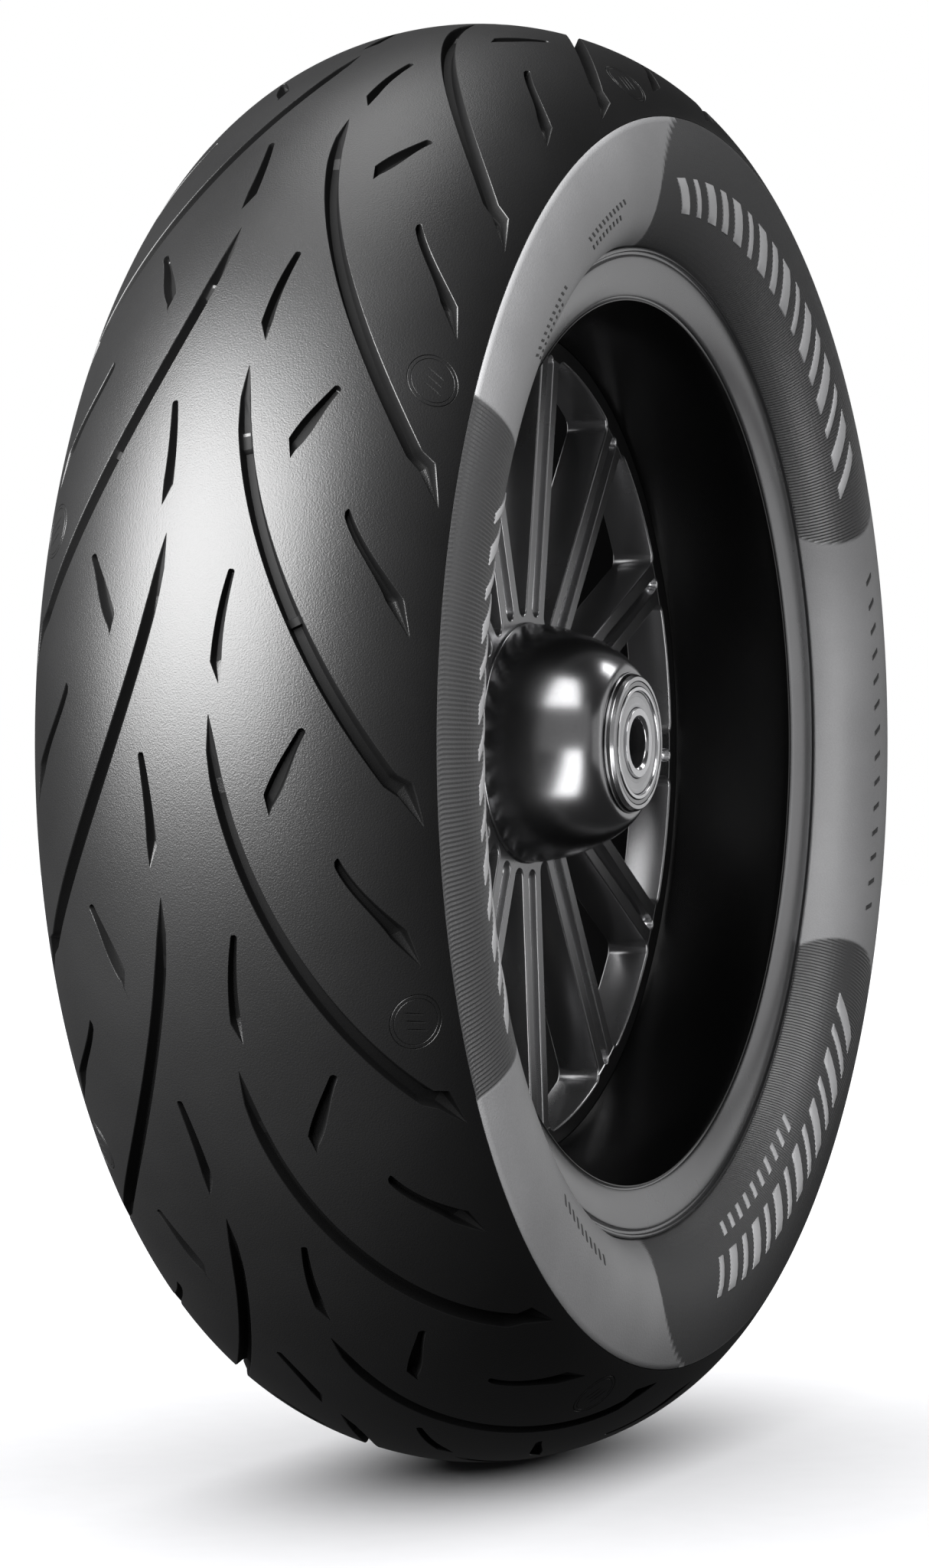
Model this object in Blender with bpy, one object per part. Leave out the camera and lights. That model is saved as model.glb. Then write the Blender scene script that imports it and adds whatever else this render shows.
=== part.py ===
"""Rear motorcycle wheel: a belted tubeless tire on a cast thirteen-spoke wheel.

The axle runs along Y and +Z is up. The near face, with the long hub dome, looks along -Y.
The origin is the centre of the wheel, on the axle and halfway between the tire's shoulders.
Every ring is turned from a closed outline of (y, radius) points. Lengths are in metres.
"""

import math

import bmesh
import bpy
import numpy as np

MM = 0.001

# Gap left between pieces that touch, and how round the rings are.
GAP = 0.3 * MM
WHEEL_SEGMENTS = 28
BEARING_SEGMENTS = 16
SMALL_SEGMENTS = 12

# Tire: outer shape.
TIRE_RADIUS = 320.0 * MM
TIRE_HALF_WIDTH = 94.9 * MM
CROWN_HEIGHT = 69.3 * MM
CROWN_POWER = 1.974
TREAD_EDGE_HEIGHT = 24.4 * MM

# Tire: layers from outside in.
TREAD_THICKNESS = 8.5 * MM
BELT_THICKNESS = 1.3 * MM
PLY_THICKNESS = 1.6 * MM
BELT_END_ANGLE = math.radians(38)
OUTER_BELT_REACH = 0.7
LINER_THICKNESS = 1.6 * MM
SIDEWALL_THICKNESS = 4.2 * MM
SHOULDER_WEDGE = 2.5 * MM
BEAD_RUBBER = 2.0 * MM
BEAD_WIDTH = 19.0 * MM
BEAD_FOOT = 2.9 * MM
BEAD_WIRE_HEIGHT = 7.9 * MM
BEAD_WIRE_WIDTH = 8.2 * MM

# Tread grooves: one long curved groove for each pitch on each half.
PITCHES = 14
GROOVE_DEPTH = 5.0 * MM
GROOVE_WIDTH = 5.2 * MM
GROOVE_WIDENING = 2.2 * MM
GROOVE_SWEEP = math.radians(35.2)
GROOVE_CURVE = 0.6
GROOVE_START_SIDE = 0.12
NEAR_GROOVE_ANGLE = math.radians(1.84)

# Rim.
RIM_WIDTH = 127.0 * MM
BEAD_SEAT_RADIUS = 202.8 * MM
FLANGE_HEIGHT = 16.1 * MM
FLANGE_THICKNESS = 7.3 * MM
LIP_DROP = 5.6 * MM
WELL_DEPTH = 12.3 * MM
WELL_HALF_WIDTH = 15.0 * MM
WELL_WALL = 4.5 * MM

# Spoke disc.
SPOKES = 13
FIRST_SPOKE_ANGLE = math.radians(-1.95)
SPOKE_WIDTH = 20.6 * MM
DISC_NEAR_FACE = -11.35 * MM
DISC_THICKNESS = 20.5 * MM
DISC_RIM_BAND = 7.4 * MM
WINDOW_HUB_ROUND = 4.5 * MM
WINDOW_RIM_ROUND = 5.0 * MM
CHANNEL_WIDTH = 8.0 * MM
CHANNEL_DEPTH = 5.0 * MM
CHANNEL_END_SPACE = 4.2 * MM

# Hub.
HUB_RADIUS = 53.1 * MM
DOME_SWELL = 0.5 * MM
DOME_LENGTH = 50.0 * MM
DOME_POWER = 1.6
NOSE_RING_WALL = 3.7 * MM
NOSE_RING_LENGTH = 3.7 * MM
NOSE_RING_CHAMFER = 1.6 * MM
NOSE_WALL = 2.0 * MM
BEARING_SHOULDER = 3.6 * MM
HUB_CORE_RADIUS = 38.0 * MM
FAR_BOSS_RADIUS = 40.0 * MM
FAR_FLANGE_RADIUS = 47.0 * MM
FAR_FLANGE_THICKNESS = 10.0 * MM
FAR_FACE = 56.0 * MM
FLANGE_BOLTS = 5
FLANGE_BOLT_CIRCLE = 36.0 * MM
FLANGE_BOLT_HOLE = 4.2 * MM
FLANGE_BOLT_DEPTH = 16.0 * MM

# Deep-groove ball bearings, 22 x 50 x 14 mm, sealed on both sides.
BEARING_BORE_RADIUS = 11.0 * MM
BEARING_OUTER_RADIUS = 25.0 * MM
BEARING_WIDTH_SHARE = 1.0
BALLS = 9
BALL_SHARE = 19 / 70
RACE_LAND_SHARE = 22 / 70
SEAL_THICKNESS = 1.0 * MM
SEAL_RECESS = 1.2 * MM
SPACER_WALL = 3.6 * MM

# Clamp-in tire valve, through the well of the rim on the far side of the disc.
VALVE_SIDE_OFFSET = 13.5 * MM
STEM_RADIUS = 3.9 * MM
STEM_LENGTH = 32.0 * MM
STEM_HEAD_RADIUS = 8.0 * MM
STEM_HEAD_THICKNESS = 2.4 * MM
STEM_BORE = 2.6 * MM
VALVE_HOLE = 4.4 * MM
VALVE_WASHER = 1.6 * MM
NUT_FLATS = 12.0 * MM
NUT_THICKNESS = 4.5 * MM
CORE_BORE = 1.1 * MM
CORE_LENGTH = 14.0 * MM
CORE_RECESS = 1.2 * MM
PIN_RADIUS = 0.7 * MM
PIN_PROUD = 0.8 * MM
CAP_WALL = 1.3 * MM
CAP_LENGTH = 10.0 * MM
CAP_GRIPS = 12

# Places that follow from the sizes above.
WIDEST_RADIUS = TIRE_RADIUS - CROWN_HEIGHT
BEARING_SECTION = BEARING_OUTER_RADIUS - BEARING_BORE_RADIUS
BEARING_WIDTH = BEARING_WIDTH_SHARE * BEARING_SECTION
BALL_RADIUS = BALL_SHARE * BEARING_SECTION
RACE_LAND = RACE_LAND_SHARE * BEARING_SECTION
BEAD_FACE = RIM_WIDTH / 2 - GAP
BEAD_BASE = BEAD_SEAT_RADIUS + GAP
FLANGE_RADIUS = BEAD_SEAT_RADIUS + FLANGE_HEIGHT
LIP_INNER_RADIUS = BEAD_SEAT_RADIUS - LIP_DROP
WELL_RADIUS = BEAD_SEAT_RADIUS - WELL_DEPTH
BARREL_RADIUS = WELL_RADIUS - WELL_WALL
DISC_RADIUS = BARREL_RADIUS - GAP
DISC_FAR_FACE = DISC_NEAR_FACE + DISC_THICKNESS
DOME_BASE = DISC_NEAR_FACE + 1.0 * MM
DOME_END = DOME_BASE - DOME_LENGTH
NOSE_FACE = DOME_END - NOSE_RING_LENGTH - 2 * GAP
POCKET_RADIUS = BEARING_OUTER_RADIUS + GAP
NOSE_RING_BORE = POCKET_RADIUS + NOSE_WALL + GAP
NOSE_RING_RADIUS = NOSE_RING_BORE + NOSE_RING_WALL
NEAR_BEARING_CENTRE = NOSE_FACE + BEARING_WIDTH / 2 - 0.5 * MM
FAR_BEARING_CENTRE = FAR_FACE - BEARING_WIDTH / 2 + 0.5 * MM
VALVE_PLACE = DISC_FAR_FACE + VALVE_SIDE_OFFSET
NEAR, FAR = -1, 1


def clear_scene():
    for obj in list(bpy.data.objects):
        bpy.data.objects.remove(obj, do_unlink=True)


def material(name, colour, roughness, metallic):
    """A Principled finish, made once and shared by every piece that names it."""
    found = bpy.data.materials.get(name)
    if found:
        return found
    made = bpy.data.materials.new(name)
    made.use_nodes = True
    made.diffuse_color = (*colour, 1.0)
    shader = made.node_tree.nodes["Principled BSDF"]
    shader.inputs["Base Color"].default_value = (*colour, 1.0)
    shader.inputs["Roughness"].default_value = roughness
    shader.inputs["Metallic"].default_value = metallic
    return made


def tread_rubber():
    return material("tread_rubber", (0.035, 0.035, 0.037), 0.55, 0.0)


def sidewall_rubber():
    return material("sidewall_rubber", (0.16, 0.16, 0.165), 0.5, 0.0)


def hidden_rubber():
    return material("hidden_rubber", (0.05, 0.05, 0.05), 0.8, 0.0)


def belt_cord():
    return material("belt_cord", (0.5, 0.42, 0.25), 0.7, 0.0)


def bead_steel():
    return material("bead_steel", (0.55, 0.45, 0.3), 0.4, 1.0)


def rim_metal():
    return material("rim_metal", (0.1, 0.1, 0.105), 0.25, 0.9)


def spoke_metal():
    return material("spoke_metal", (0.3, 0.3, 0.31), 0.3, 1.0)


def dark_chrome():
    return material("dark_chrome", (0.35, 0.35, 0.36), 0.08, 1.0)


def bearing_steel():
    return material("bearing_steel", (0.65, 0.65, 0.66), 0.2, 1.0)


def seal_rubber():
    return material("seal_rubber", (0.3, 0.3, 0.3), 0.6, 0.0)


def add_object(name, mesh, finish):
    mesh.shade_smooth()
    mesh.set_sharp_from_angle(angle=math.radians(28))
    obj = bpy.data.objects.new(name, mesh)
    if finish:
        obj.data.materials.append(finish)
    bpy.context.scene.collection.objects.link(obj)
    return obj


def signed_volume(points, faces):
    """Six times the volume inside closed faces, negative where they point inwards."""
    total = 0.0
    for face in faces:
        for i in range(1, len(face) - 1):
            corners = np.array([points[face[0]], points[face[i]], points[face[i + 1]]])
            total += np.linalg.det(corners)
    return total


def outwards(points, faces):
    """The faces of one closed, evenly wound shell, reversed where they point inwards."""
    middle = np.mean(np.array(points), axis=0)
    if signed_volume(np.array(points) - middle, faces) < 0:
        return [tuple(reversed(face)) for face in faces]
    return faces


def mesh_of(name, points, faces):
    mesh = bpy.data.meshes.new(name)
    mesh.from_pydata([tuple(p) for p in points], [], faces)
    return mesh


def ring_mesh(name, outline, segments, centre=0.0):
    """The closed outline of (y, radius) points, turned about the axle."""
    y, radius = np.array(outline).T
    angle = np.arange(segments) * 2 * math.pi / segments
    points = np.stack(
        [
            np.outer(np.cos(angle), radius),
            np.tile(y + centre, (segments, 1)),
            np.outer(np.sin(angle), radius),
        ],
        axis=-1,
    ).reshape(-1, 3)
    count = len(outline)
    faces = [
        (
            a * count + i,
            a * count + (i + 1) % count,
            (a + 1) % segments * count + (i + 1) % count,
            (a + 1) % segments * count + i,
        )
        for a in range(segments)
        for i in range(count)
    ]
    return mesh_of(name, points, outwards(points, faces))


def turned_ring(name, outline, finish, segments=WHEEL_SEGMENTS, centre=0.0):
    return add_object(name, ring_mesh(name, outline, segments, centre), finish)


def on_side(outline, side):
    return [(side * y, radius) for y, radius in outline]


def prism(rows):
    """The points and faces of one closed prism, from cross-sections with equal numbers of corners."""
    points = [point for row in rows for point in row]
    corners, last = len(rows[0]), (len(rows) - 1) * len(rows[0])
    faces = [tuple(range(corners))[::-1], tuple(range(last, last + corners))]
    for low in range(0, last, corners):
        for i in range(corners):
            j = (i + 1) % corners
            faces.append((low + i, low + j, low + corners + j, low + corners + i))
    return points, outwards(points, faces)


def prisms(name, sections):
    """One mesh that holds several separate prisms."""
    points, faces = [], []
    for rows in sections:
        base = len(points)
        more, found = prism(rows)
        points += more
        faces += [tuple(base + i for i in face) for face in found]
    return mesh_of(name, points, faces)


def add_cutter(name, mesh):
    cutter = add_object(name, mesh, None)
    cutter.hide_render = True
    cutter.display_type = "WIRE"
    return cutter


def combine(obj, other, operation="DIFFERENCE"):
    step = obj.modifiers.new(other.name, "BOOLEAN")
    step.operation = operation
    step.object = other


# --- Tire ------------------------------------------------------------------------------------


def crown_point(angle):
    """A point on the upper half of the section and its outward normal, 90 degrees being the crown."""
    share = 2 / CROWN_POWER
    across, up = math.cos(angle) ** share, math.sin(angle) ** share
    point = np.array([TIRE_HALF_WIDTH * across, WIDEST_RADIUS + CROWN_HEIGHT * up])
    slope = CROWN_POWER - 1
    normal = np.array([across**slope / TIRE_HALF_WIDTH, up**slope / CROWN_HEIGHT])
    return point, normal / np.linalg.norm(normal)


def edge_angle():
    """Where the tread meets the sidewall."""
    return math.asin((TREAD_EDGE_HEIGHT / CROWN_HEIGHT) ** (CROWN_POWER / 2))


def curl_point(angle):
    """A point on the lower sidewall, a quarter ellipse from the widest point to the rim flange."""
    end = bead_shoulder()
    across, down = TIRE_HALF_WIDTH - end[0], WIDEST_RADIUS - end[1]
    point = end + np.array([across * math.cos(angle), down * (1 - math.sin(angle))])
    normal = np.array([math.cos(angle) / across, -math.sin(angle) / down])
    return point, normal / np.linalg.norm(normal)


def bead_shoulder():
    return np.array([BEAD_FACE + 2.8 * MM, FLANGE_RADIUS + 0.4 * MM])


def station(point_and_normal, thickness):
    point, normal = point_and_normal
    return point, point - normal * thickness


def crown_thickness():
    layers = TREAD_THICKNESS + 2 * BELT_THICKNESS + PLY_THICKNESS + LINER_THICKNESS
    return layers + 4 * GAP


def wall_thickness():
    return SIDEWALL_THICKNESS + PLY_THICKNESS + LINER_THICKNESS + 2 * GAP


def wall_stations():
    """Pairs of an outer and a cavity point down one half of the tire, shared by all its layers."""
    crown, wall, edge = crown_thickness(), wall_thickness(), edge_angle()
    shoulder = bead_shoulder()
    foot_top = BEAD_BASE + BEAD_FOOT + GAP
    wire_top = foot_top + BEAD_WIRE_HEIGHT + GAP
    return [
        station(crown_point(math.pi / 2), crown),
        station(crown_point((math.pi / 2 + BELT_END_ANGLE) / 2), crown),
        station(crown_point(BELT_END_ANGLE), crown),
        station(crown_point(edge), wall + SHOULDER_WEDGE),
        station(crown_point(0.0), wall),
        station(curl_point(math.radians(48)), wall),
        (shoulder, shoulder + np.array([-5.5, 7.7]) * MM),
        (
            np.array([BEAD_FACE, wire_top]),
            np.array([BEAD_FACE - 12.7 * MM, wire_top + 3.0 * MM]),
        ),
        (
            np.array([BEAD_FACE, foot_top]),
            np.array([BEAD_FACE - BEAD_WIDTH, foot_top]),
        ),
    ]


STATIONS = wall_stations()
CROWN, BELT_END, TREAD_END, SHOULDER, WIRE_TOP, FOOT = 0, 2, 3, 6, 7, 8


def span(index):
    outer, inner = STATIONS[index]
    return float(np.linalg.norm(inner - outer))


def at_depth(index, depth):
    outer, inner = STATIONS[index]
    return tuple(outer + (inner - outer) * depth / span(index))


def ply_depth(index):
    return span(index) - LINER_THICKNESS - GAP - PLY_THICKNESS


def inner_belt_depth():
    return TREAD_THICKNESS + BELT_THICKNESS + 2 * GAP


def tread_depth(index):
    return TREAD_THICKNESS if index <= BELT_END else ply_depth(index) - GAP


def sidewall_depth(index):
    return BEAD_RUBBER if index >= SHOULDER else ply_depth(index) - GAP


def both_sides(points):
    """A run of points from the crown down one half, mirrored into one run across the tire."""
    near = [(-y, radius) for y, radius in reversed(points[1:])]
    return near + [(0.0, points[0][1])] + list(points[1:])


def run_at(last, depth, reach):
    """Points at a depth from the crown outwards. The last step goes only a share of its way."""
    points = [at_depth(i, depth(i)) for i in range(CROWN, last + 1)]
    back, end = np.array(points[-2]), np.array(points[-1])
    return points[:-1] + [tuple(back + (end - back) * reach)]


def across_crown(last, top, bottom, reach=1.0):
    """A layer over the crown, between two depths that may change from station to station."""
    return both_sides(run_at(last, top, reach)) + both_sides(run_at(last, bottom, reach))[::-1]


def groove_place(share, start, side):
    """A point on the tread along a long groove, and the outward direction there.

    The groove runs almost round the crown at first, then sweeps out to the shoulder.
    """
    across = GROOVE_START_SIDE + (1 - GROOVE_START_SIDE) * share
    turn = math.pi + start + GROOVE_SWEEP * share**GROOVE_CURVE
    edge = edge_angle() + 0.05
    (y, radius), (out_y, out_radius) = crown_point(math.pi / 2 - (math.pi / 2 - edge) * across)
    point = np.array([radius * math.cos(turn), side * y, radius * math.sin(turn)])
    outward = np.array([out_radius * math.cos(turn), side * out_y, out_radius * math.sin(turn)])
    return point, outward


def groove_sections(start, side):
    """Four-cornered sections of one groove cutter, from above the tread to the groove's floor."""
    rows = []
    for share in (0.0, 0.1, 0.3, 0.6, 0.9):
        point, outward = groove_place(share, start, side)
        ahead = groove_place(share + 0.01, start, side)[0] - point
        sideways = np.cross(outward, ahead / np.linalg.norm(ahead))
        half = (GROOVE_WIDTH + GROOVE_WIDENING * share) / 2 * (0.4 + 0.6 * min(1.0, 4 * share))
        top, floor = point + outward * 3 * MM, point - outward * GROOVE_DEPTH
        rows.append([
            tuple(top - sideways * half),
            tuple(top + sideways * half),
            tuple(floor + sideways * half * 0.7),
            tuple(floor - sideways * half * 0.7),
        ])
    return rows


def build_tread():
    outline = across_crown(TREAD_END, lambda i: 0.0, tread_depth)
    seam = station(crown_point(edge_angle() + GAP / CROWN_HEIGHT), span(TREAD_END))
    depth = tread_depth(TREAD_END) / span(TREAD_END)
    top, bottom = seam[0], seam[0] + (seam[1] - seam[0]) * depth
    half = len(outline) // 2
    outline[0], outline[half - 1] = (-top[0], top[1]), tuple(top)
    outline[half], outline[-1] = tuple(bottom), (-bottom[0], bottom[1])
    tread = turned_ring("tread", outline, tread_rubber())
    pitch = 2 * math.pi / PITCHES
    grooves = []
    for k in range(PITCHES):
        start = -NEAR_GROOVE_ANGLE + k * pitch
        grooves.append(groove_sections(start, NEAR))
        grooves.append(groove_sections(start + pitch / 2, FAR))
    combine(tread, add_cutter("groove_cutter", prisms("groove_cutter", grooves)))


def build_belt(name, depth, reach):
    outline = across_crown(BELT_END, lambda i: depth, lambda i: depth + BELT_THICKNESS, reach)
    turned_ring(name, outline, belt_cord())


def build_carcass():
    ply = across_crown(FOOT, ply_depth, lambda i: ply_depth(i) + PLY_THICKNESS)
    turned_ring("carcass_ply", ply, belt_cord())
    liner = across_crown(FOOT, lambda i: span(i) - LINER_THICKNESS, span)
    turned_ring("inner_liner", liner, hidden_rubber())


def build_sidewall(name, side):
    outer = [at_depth(i, 0.0) for i in range(TREAD_END, FOOT + 1)]
    toe = BEAD_FACE - BEAD_WIDTH
    base = [
        (BEAD_FACE - 3.0 * MM, BEAD_BASE),
        (toe, BEAD_BASE),
        (toe, BEAD_BASE + BEAD_FOOT),
        (BEAD_FACE - BEAD_RUBBER, BEAD_BASE + BEAD_FOOT),
    ]
    inner = [at_depth(i, sidewall_depth(i)) for i in range(WIRE_TOP, TREAD_END - 1, -1)]
    turned_ring(name, on_side(outer + base + inner, side), sidewall_rubber())


def build_bead(side, word):
    start = BEAD_RUBBER + GAP
    top_end, foot_end = ply_depth(WIRE_TOP) - GAP, start + BEAD_WIRE_WIDTH
    shoulder_end = ply_depth(SHOULDER) - GAP
    filler = [
        at_depth(SHOULDER, start),
        at_depth(WIRE_TOP, start),
        at_depth(WIRE_TOP, top_end),
        at_depth(SHOULDER, shoulder_end),
    ]
    turned_ring(f"bead_filler_{word}", on_side(filler, side), hidden_rubber())
    drop = np.array([0.0, GAP])
    wire = [
        np.array(at_depth(WIRE_TOP, start)) - drop,
        at_depth(FOOT, start),
        at_depth(FOOT, foot_end),
        np.array(at_depth(WIRE_TOP, min(top_end, BEAD_WIRE_WIDTH))) - drop,
    ]
    turned_ring(f"bead_wire_{word}", on_side(wire, side), bead_steel())


def build_tire():
    build_tread()
    build_belt("belt_outer", TREAD_THICKNESS + GAP, OUTER_BELT_REACH)
    build_belt("belt_inner", inner_belt_depth(), 1.0)
    build_carcass()
    for side, word in ((NEAR, "near"), (FAR, "far")):
        build_sidewall(f"sidewall_{word}", side)
        build_bead(side, word)


# --- Wheel -----------------------------------------------------------------------------------


def rim_outline():
    """Lips, bead seats with humps, and the well. The far half has room for the valve."""
    face, tip = RIM_WIDTH / 2, RIM_WIDTH / 2 + FLANGE_THICKNESS
    seat, flange = BEAD_SEAT_RADIUS, FLANGE_RADIUS
    toe = BEAD_FACE - BEAD_WIDTH
    valve_flat = VALVE_PLACE + STEM_HEAD_RADIUS + 2 * MM

    def tire_side(flat_end):
        return [
            (tip, flange),
            (face + 3.5 * MM, flange - 0.9 * MM),
            (face, flange - 5.6 * MM),
            (face, seat + 1.5 * MM),
            (face - 1.5 * MM, seat),
            (toe - 1.0 * MM, seat - 0.8 * MM),
            (flat_end, WELL_RADIUS),
        ]

    def axle_side(flat_end):
        return [
            (flat_end, BARREL_RADIUS),
            (tip - 4.7 * MM, LIP_INNER_RADIUS),
            (tip + 0.2 * MM, flange - 2.4 * MM),
        ]

    near = [(-y, radius) for y, radius in tire_side(WELL_HALF_WIDTH)]
    near_axle = [(-y, radius) for y, radius in reversed(axle_side(-DISC_NEAR_FACE))]
    return near + tire_side(valve_flat)[::-1] + axle_side(valve_flat)[::-1] + near_axle[::-1]


def cylinder_section(radius, height, count, turn=0.0):
    angles = [turn + 2 * math.pi * k / count for k in range(count)]
    return [(radius * math.cos(a), radius * math.sin(a), height) for a in angles]


def build_rim():
    rim = turned_ring("rim", rim_outline(), rim_metal())
    low = cylinder_section(VALVE_HOLE, -WELL_RADIUS - 5 * MM, SMALL_SEGMENTS)
    high = cylinder_section(VALVE_HOLE, -BARREL_RADIUS + 5 * MM, SMALL_SEGMENTS)
    hole = add_cutter("valve_hole_cutter", prisms("valve_hole_cutter", [[low, high]]))
    hole.location = (0.0, VALVE_PLACE, 0.0)
    combine(rim, hole)


def arc(centre, radius, start, end, count):
    angles = np.linspace(start, end, count)
    return [(centre[0] + radius * math.cos(a), centre[1] + radius * math.sin(a)) for a in angles]


def window_outline():
    """The opening between two spokes, along +X: round at the hub end, arc at the rim end."""
    half = math.pi / SPOKES
    hub_centre = (SPOKE_WIDTH / 2 + WINDOW_HUB_ROUND) / math.sin(half)
    hub_end = arc((hub_centre, 0.0), WINDOW_HUB_ROUND, half + math.pi / 2, 3 * math.pi / 2 - half, 4)
    outer = DISC_RADIUS - DISC_RIM_BAND
    reach = outer - WINDOW_RIM_ROUND
    off_axis = SPOKE_WIDTH / 2 + WINDOW_RIM_ROUND
    corner = half - math.asin(off_axis / reach)
    centre = (reach * math.cos(corner), reach * math.sin(corner))
    upper = arc(centre, WINDOW_RIM_ROUND, corner, half + math.pi / 2, 3)
    lower = [(x, -z) for x, z in reversed(upper)]
    rim_end = arc((0.0, 0.0), outer, -corner, corner, 4)[1:-1]
    return hub_end + lower + rim_end + upper


def channel_outline():
    """The recess along the front of one spoke, with round ends."""
    half = CHANNEL_WIDTH / 2
    inner = HUB_RADIUS + GAP + CHANNEL_END_SPACE + half
    outer = DISC_RADIUS - DISC_RIM_BAND - half
    hub_end = arc((inner, 0.0), half, math.pi / 2, 3 * math.pi / 2, 4)
    return hub_end + arc((outer, 0.0), half, -math.pi / 2, math.pi / 2, 4)


def around_axle(outline, first, low, high):
    """Copies of a flat outline as prisms between two heights, one for each spoke."""
    sections = []
    for k in range(SPOKES):
        turn = first + 2 * math.pi * k / SPOKES
        cos, sin = math.cos(turn), math.sin(turn)
        turned = [(x * cos - z * sin, x * sin + z * cos) for x, z in outline]
        sections.append([[(x, y, z) for x, z in turned] for y in (low, high)])
    return sections


def build_spoke_disc():
    bore = HUB_RADIUS + GAP
    outline = [
        (DISC_NEAR_FACE, bore),
        (DISC_NEAR_FACE, DISC_RADIUS),
        (DISC_FAR_FACE, DISC_RADIUS),
        (DISC_FAR_FACE, bore),
    ]
    disc = turned_ring("spoke_disc", outline, spoke_metal())
    margin = 3 * MM
    windows = around_axle(
        window_outline(),
        FIRST_SPOKE_ANGLE + math.pi / SPOKES,
        DISC_NEAR_FACE - margin,
        DISC_FAR_FACE + margin,
    )
    combine(disc, add_cutter("window_cutter", prisms("window_cutter", windows)))
    channels = around_axle(
        channel_outline(),
        FIRST_SPOKE_ANGLE,
        DISC_NEAR_FACE - margin,
        DISC_NEAR_FACE + CHANNEL_DEPTH,
    )
    combine(disc, add_cutter("channel_cutter", prisms("channel_cutter", channels)))


def dome_outline():
    """The dome from its base to the nose: a superellipse that swells a little, then closes in."""
    widest = HUB_RADIUS + DOME_SWELL
    end = NOSE_RING_RADIUS + 1.0 * MM
    start = DOME_BASE - 3.0 * MM
    points = [(DOME_BASE, HUB_RADIUS)]
    for angle in np.linspace(0.0, math.pi / 2, 6):
        along = math.sin(angle) ** (2 / DOME_POWER)
        out = max(0.0, math.cos(angle)) ** (2 / DOME_POWER)
        points.append((start + (DOME_END - start) * along, end + (widest - end) * out))
    return points


def hub_outline():
    """Dome, nose tube, near pocket, hollow core, far pocket, far flange and boss."""
    nose = POCKET_RADIUS + NOSE_WALL
    shoulder = BEARING_OUTER_RADIUS - BEARING_SHOULDER
    near_stop = NEAR_BEARING_CENTRE + BEARING_WIDTH / 2 + GAP
    far_stop = FAR_BEARING_CENTRE - BEARING_WIDTH / 2 - GAP
    web = 6.0 * MM
    slope = HUB_CORE_RADIUS - shoulder
    flange_back = FAR_FACE - FAR_FLANGE_THICKNESS
    front = dome_outline() + [(DOME_END, nose), (NOSE_FACE, nose), (NOSE_FACE, POCKET_RADIUS)]
    inside = [
        (near_stop, POCKET_RADIUS),
        (near_stop, shoulder),
        (near_stop + web, shoulder),
        (near_stop + web + slope * 0.6, HUB_CORE_RADIUS),
        (DISC_FAR_FACE, HUB_CORE_RADIUS),
        (DISC_FAR_FACE + slope, shoulder),
        (far_stop, shoulder),
        (far_stop, POCKET_RADIUS),
    ]
    back = [
        (FAR_FACE, POCKET_RADIUS),
        (FAR_FACE, FAR_FLANGE_RADIUS),
        (flange_back, FAR_FLANGE_RADIUS),
        (flange_back - 5 * MM, FAR_BOSS_RADIUS),
        (DISC_FAR_FACE + 8 * MM, FAR_BOSS_RADIUS),
        (DISC_FAR_FACE, HUB_RADIUS),
    ]
    return front + inside + back


def build_hub():
    hub = turned_ring("hub", hub_outline(), dark_chrome())
    holes = []
    for k in range(FLANGE_BOLTS):
        angle = math.pi / 2 + 2 * math.pi * k / FLANGE_BOLTS
        x, z = FLANGE_BOLT_CIRCLE * math.cos(angle), FLANGE_BOLT_CIRCLE * math.sin(angle)
        circle = arc((x, z), FLANGE_BOLT_HOLE, 0, 2 * math.pi, SMALL_SEGMENTS + 1)[:-1]
        depths = (FAR_FACE - FLANGE_BOLT_DEPTH, FAR_FACE + 3 * MM)
        holes.append([[(px, y, pz) for px, pz in circle] for y in depths])
    combine(hub, add_cutter("flange_hole_cutter", prisms("flange_hole_cutter", holes)))
    ring = [
        (DOME_END - GAP, NOSE_RING_BORE),
        (DOME_END - GAP, NOSE_RING_RADIUS),
        (NOSE_FACE + NOSE_RING_CHAMFER, NOSE_RING_RADIUS - 0.6 * MM),
        (NOSE_FACE, NOSE_RING_RADIUS - NOSE_RING_CHAMFER),
        (NOSE_FACE, NOSE_RING_BORE),
    ]
    turned_ring("hub_nose_ring", ring, dark_chrome())


# --- Bearings --------------------------------------------------------------------------------


def pitch_radius():
    return (BEARING_BORE_RADIUS + BEARING_OUTER_RADIUS) / 2


def outer_race_outline():
    half, land = BEARING_WIDTH / 2, BEARING_OUTER_RADIUS - RACE_LAND - 0.2 * MM
    seal_seat = BEARING_OUTER_RADIUS - 1.7 * MM
    floor = pitch_radius() + BALL_RADIUS + 1.0 * MM
    seat_end = half - SEAL_RECESS - SEAL_THICKNESS - GAP
    run = [
        (half, BEARING_OUTER_RADIUS),
        (half, seal_seat),
        (seat_end, seal_seat),
        (BALL_RADIUS, land),
        (0.35 * BALL_RADIUS, floor),
    ]
    return run + [(-y, radius) for y, radius in reversed(run)]


def inner_race_outline():
    half, land = BEARING_WIDTH / 2, BEARING_BORE_RADIUS + RACE_LAND
    floor = pitch_radius() - BALL_RADIUS - 0.6 * MM
    run = [
        (half, BEARING_BORE_RADIUS),
        (half, land),
        (BALL_RADIUS - 0.5 * MM, land),
        (0.3 * BALL_RADIUS, floor),
    ]
    return run + [(-y, radius) for y, radius in reversed(run)]


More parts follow.
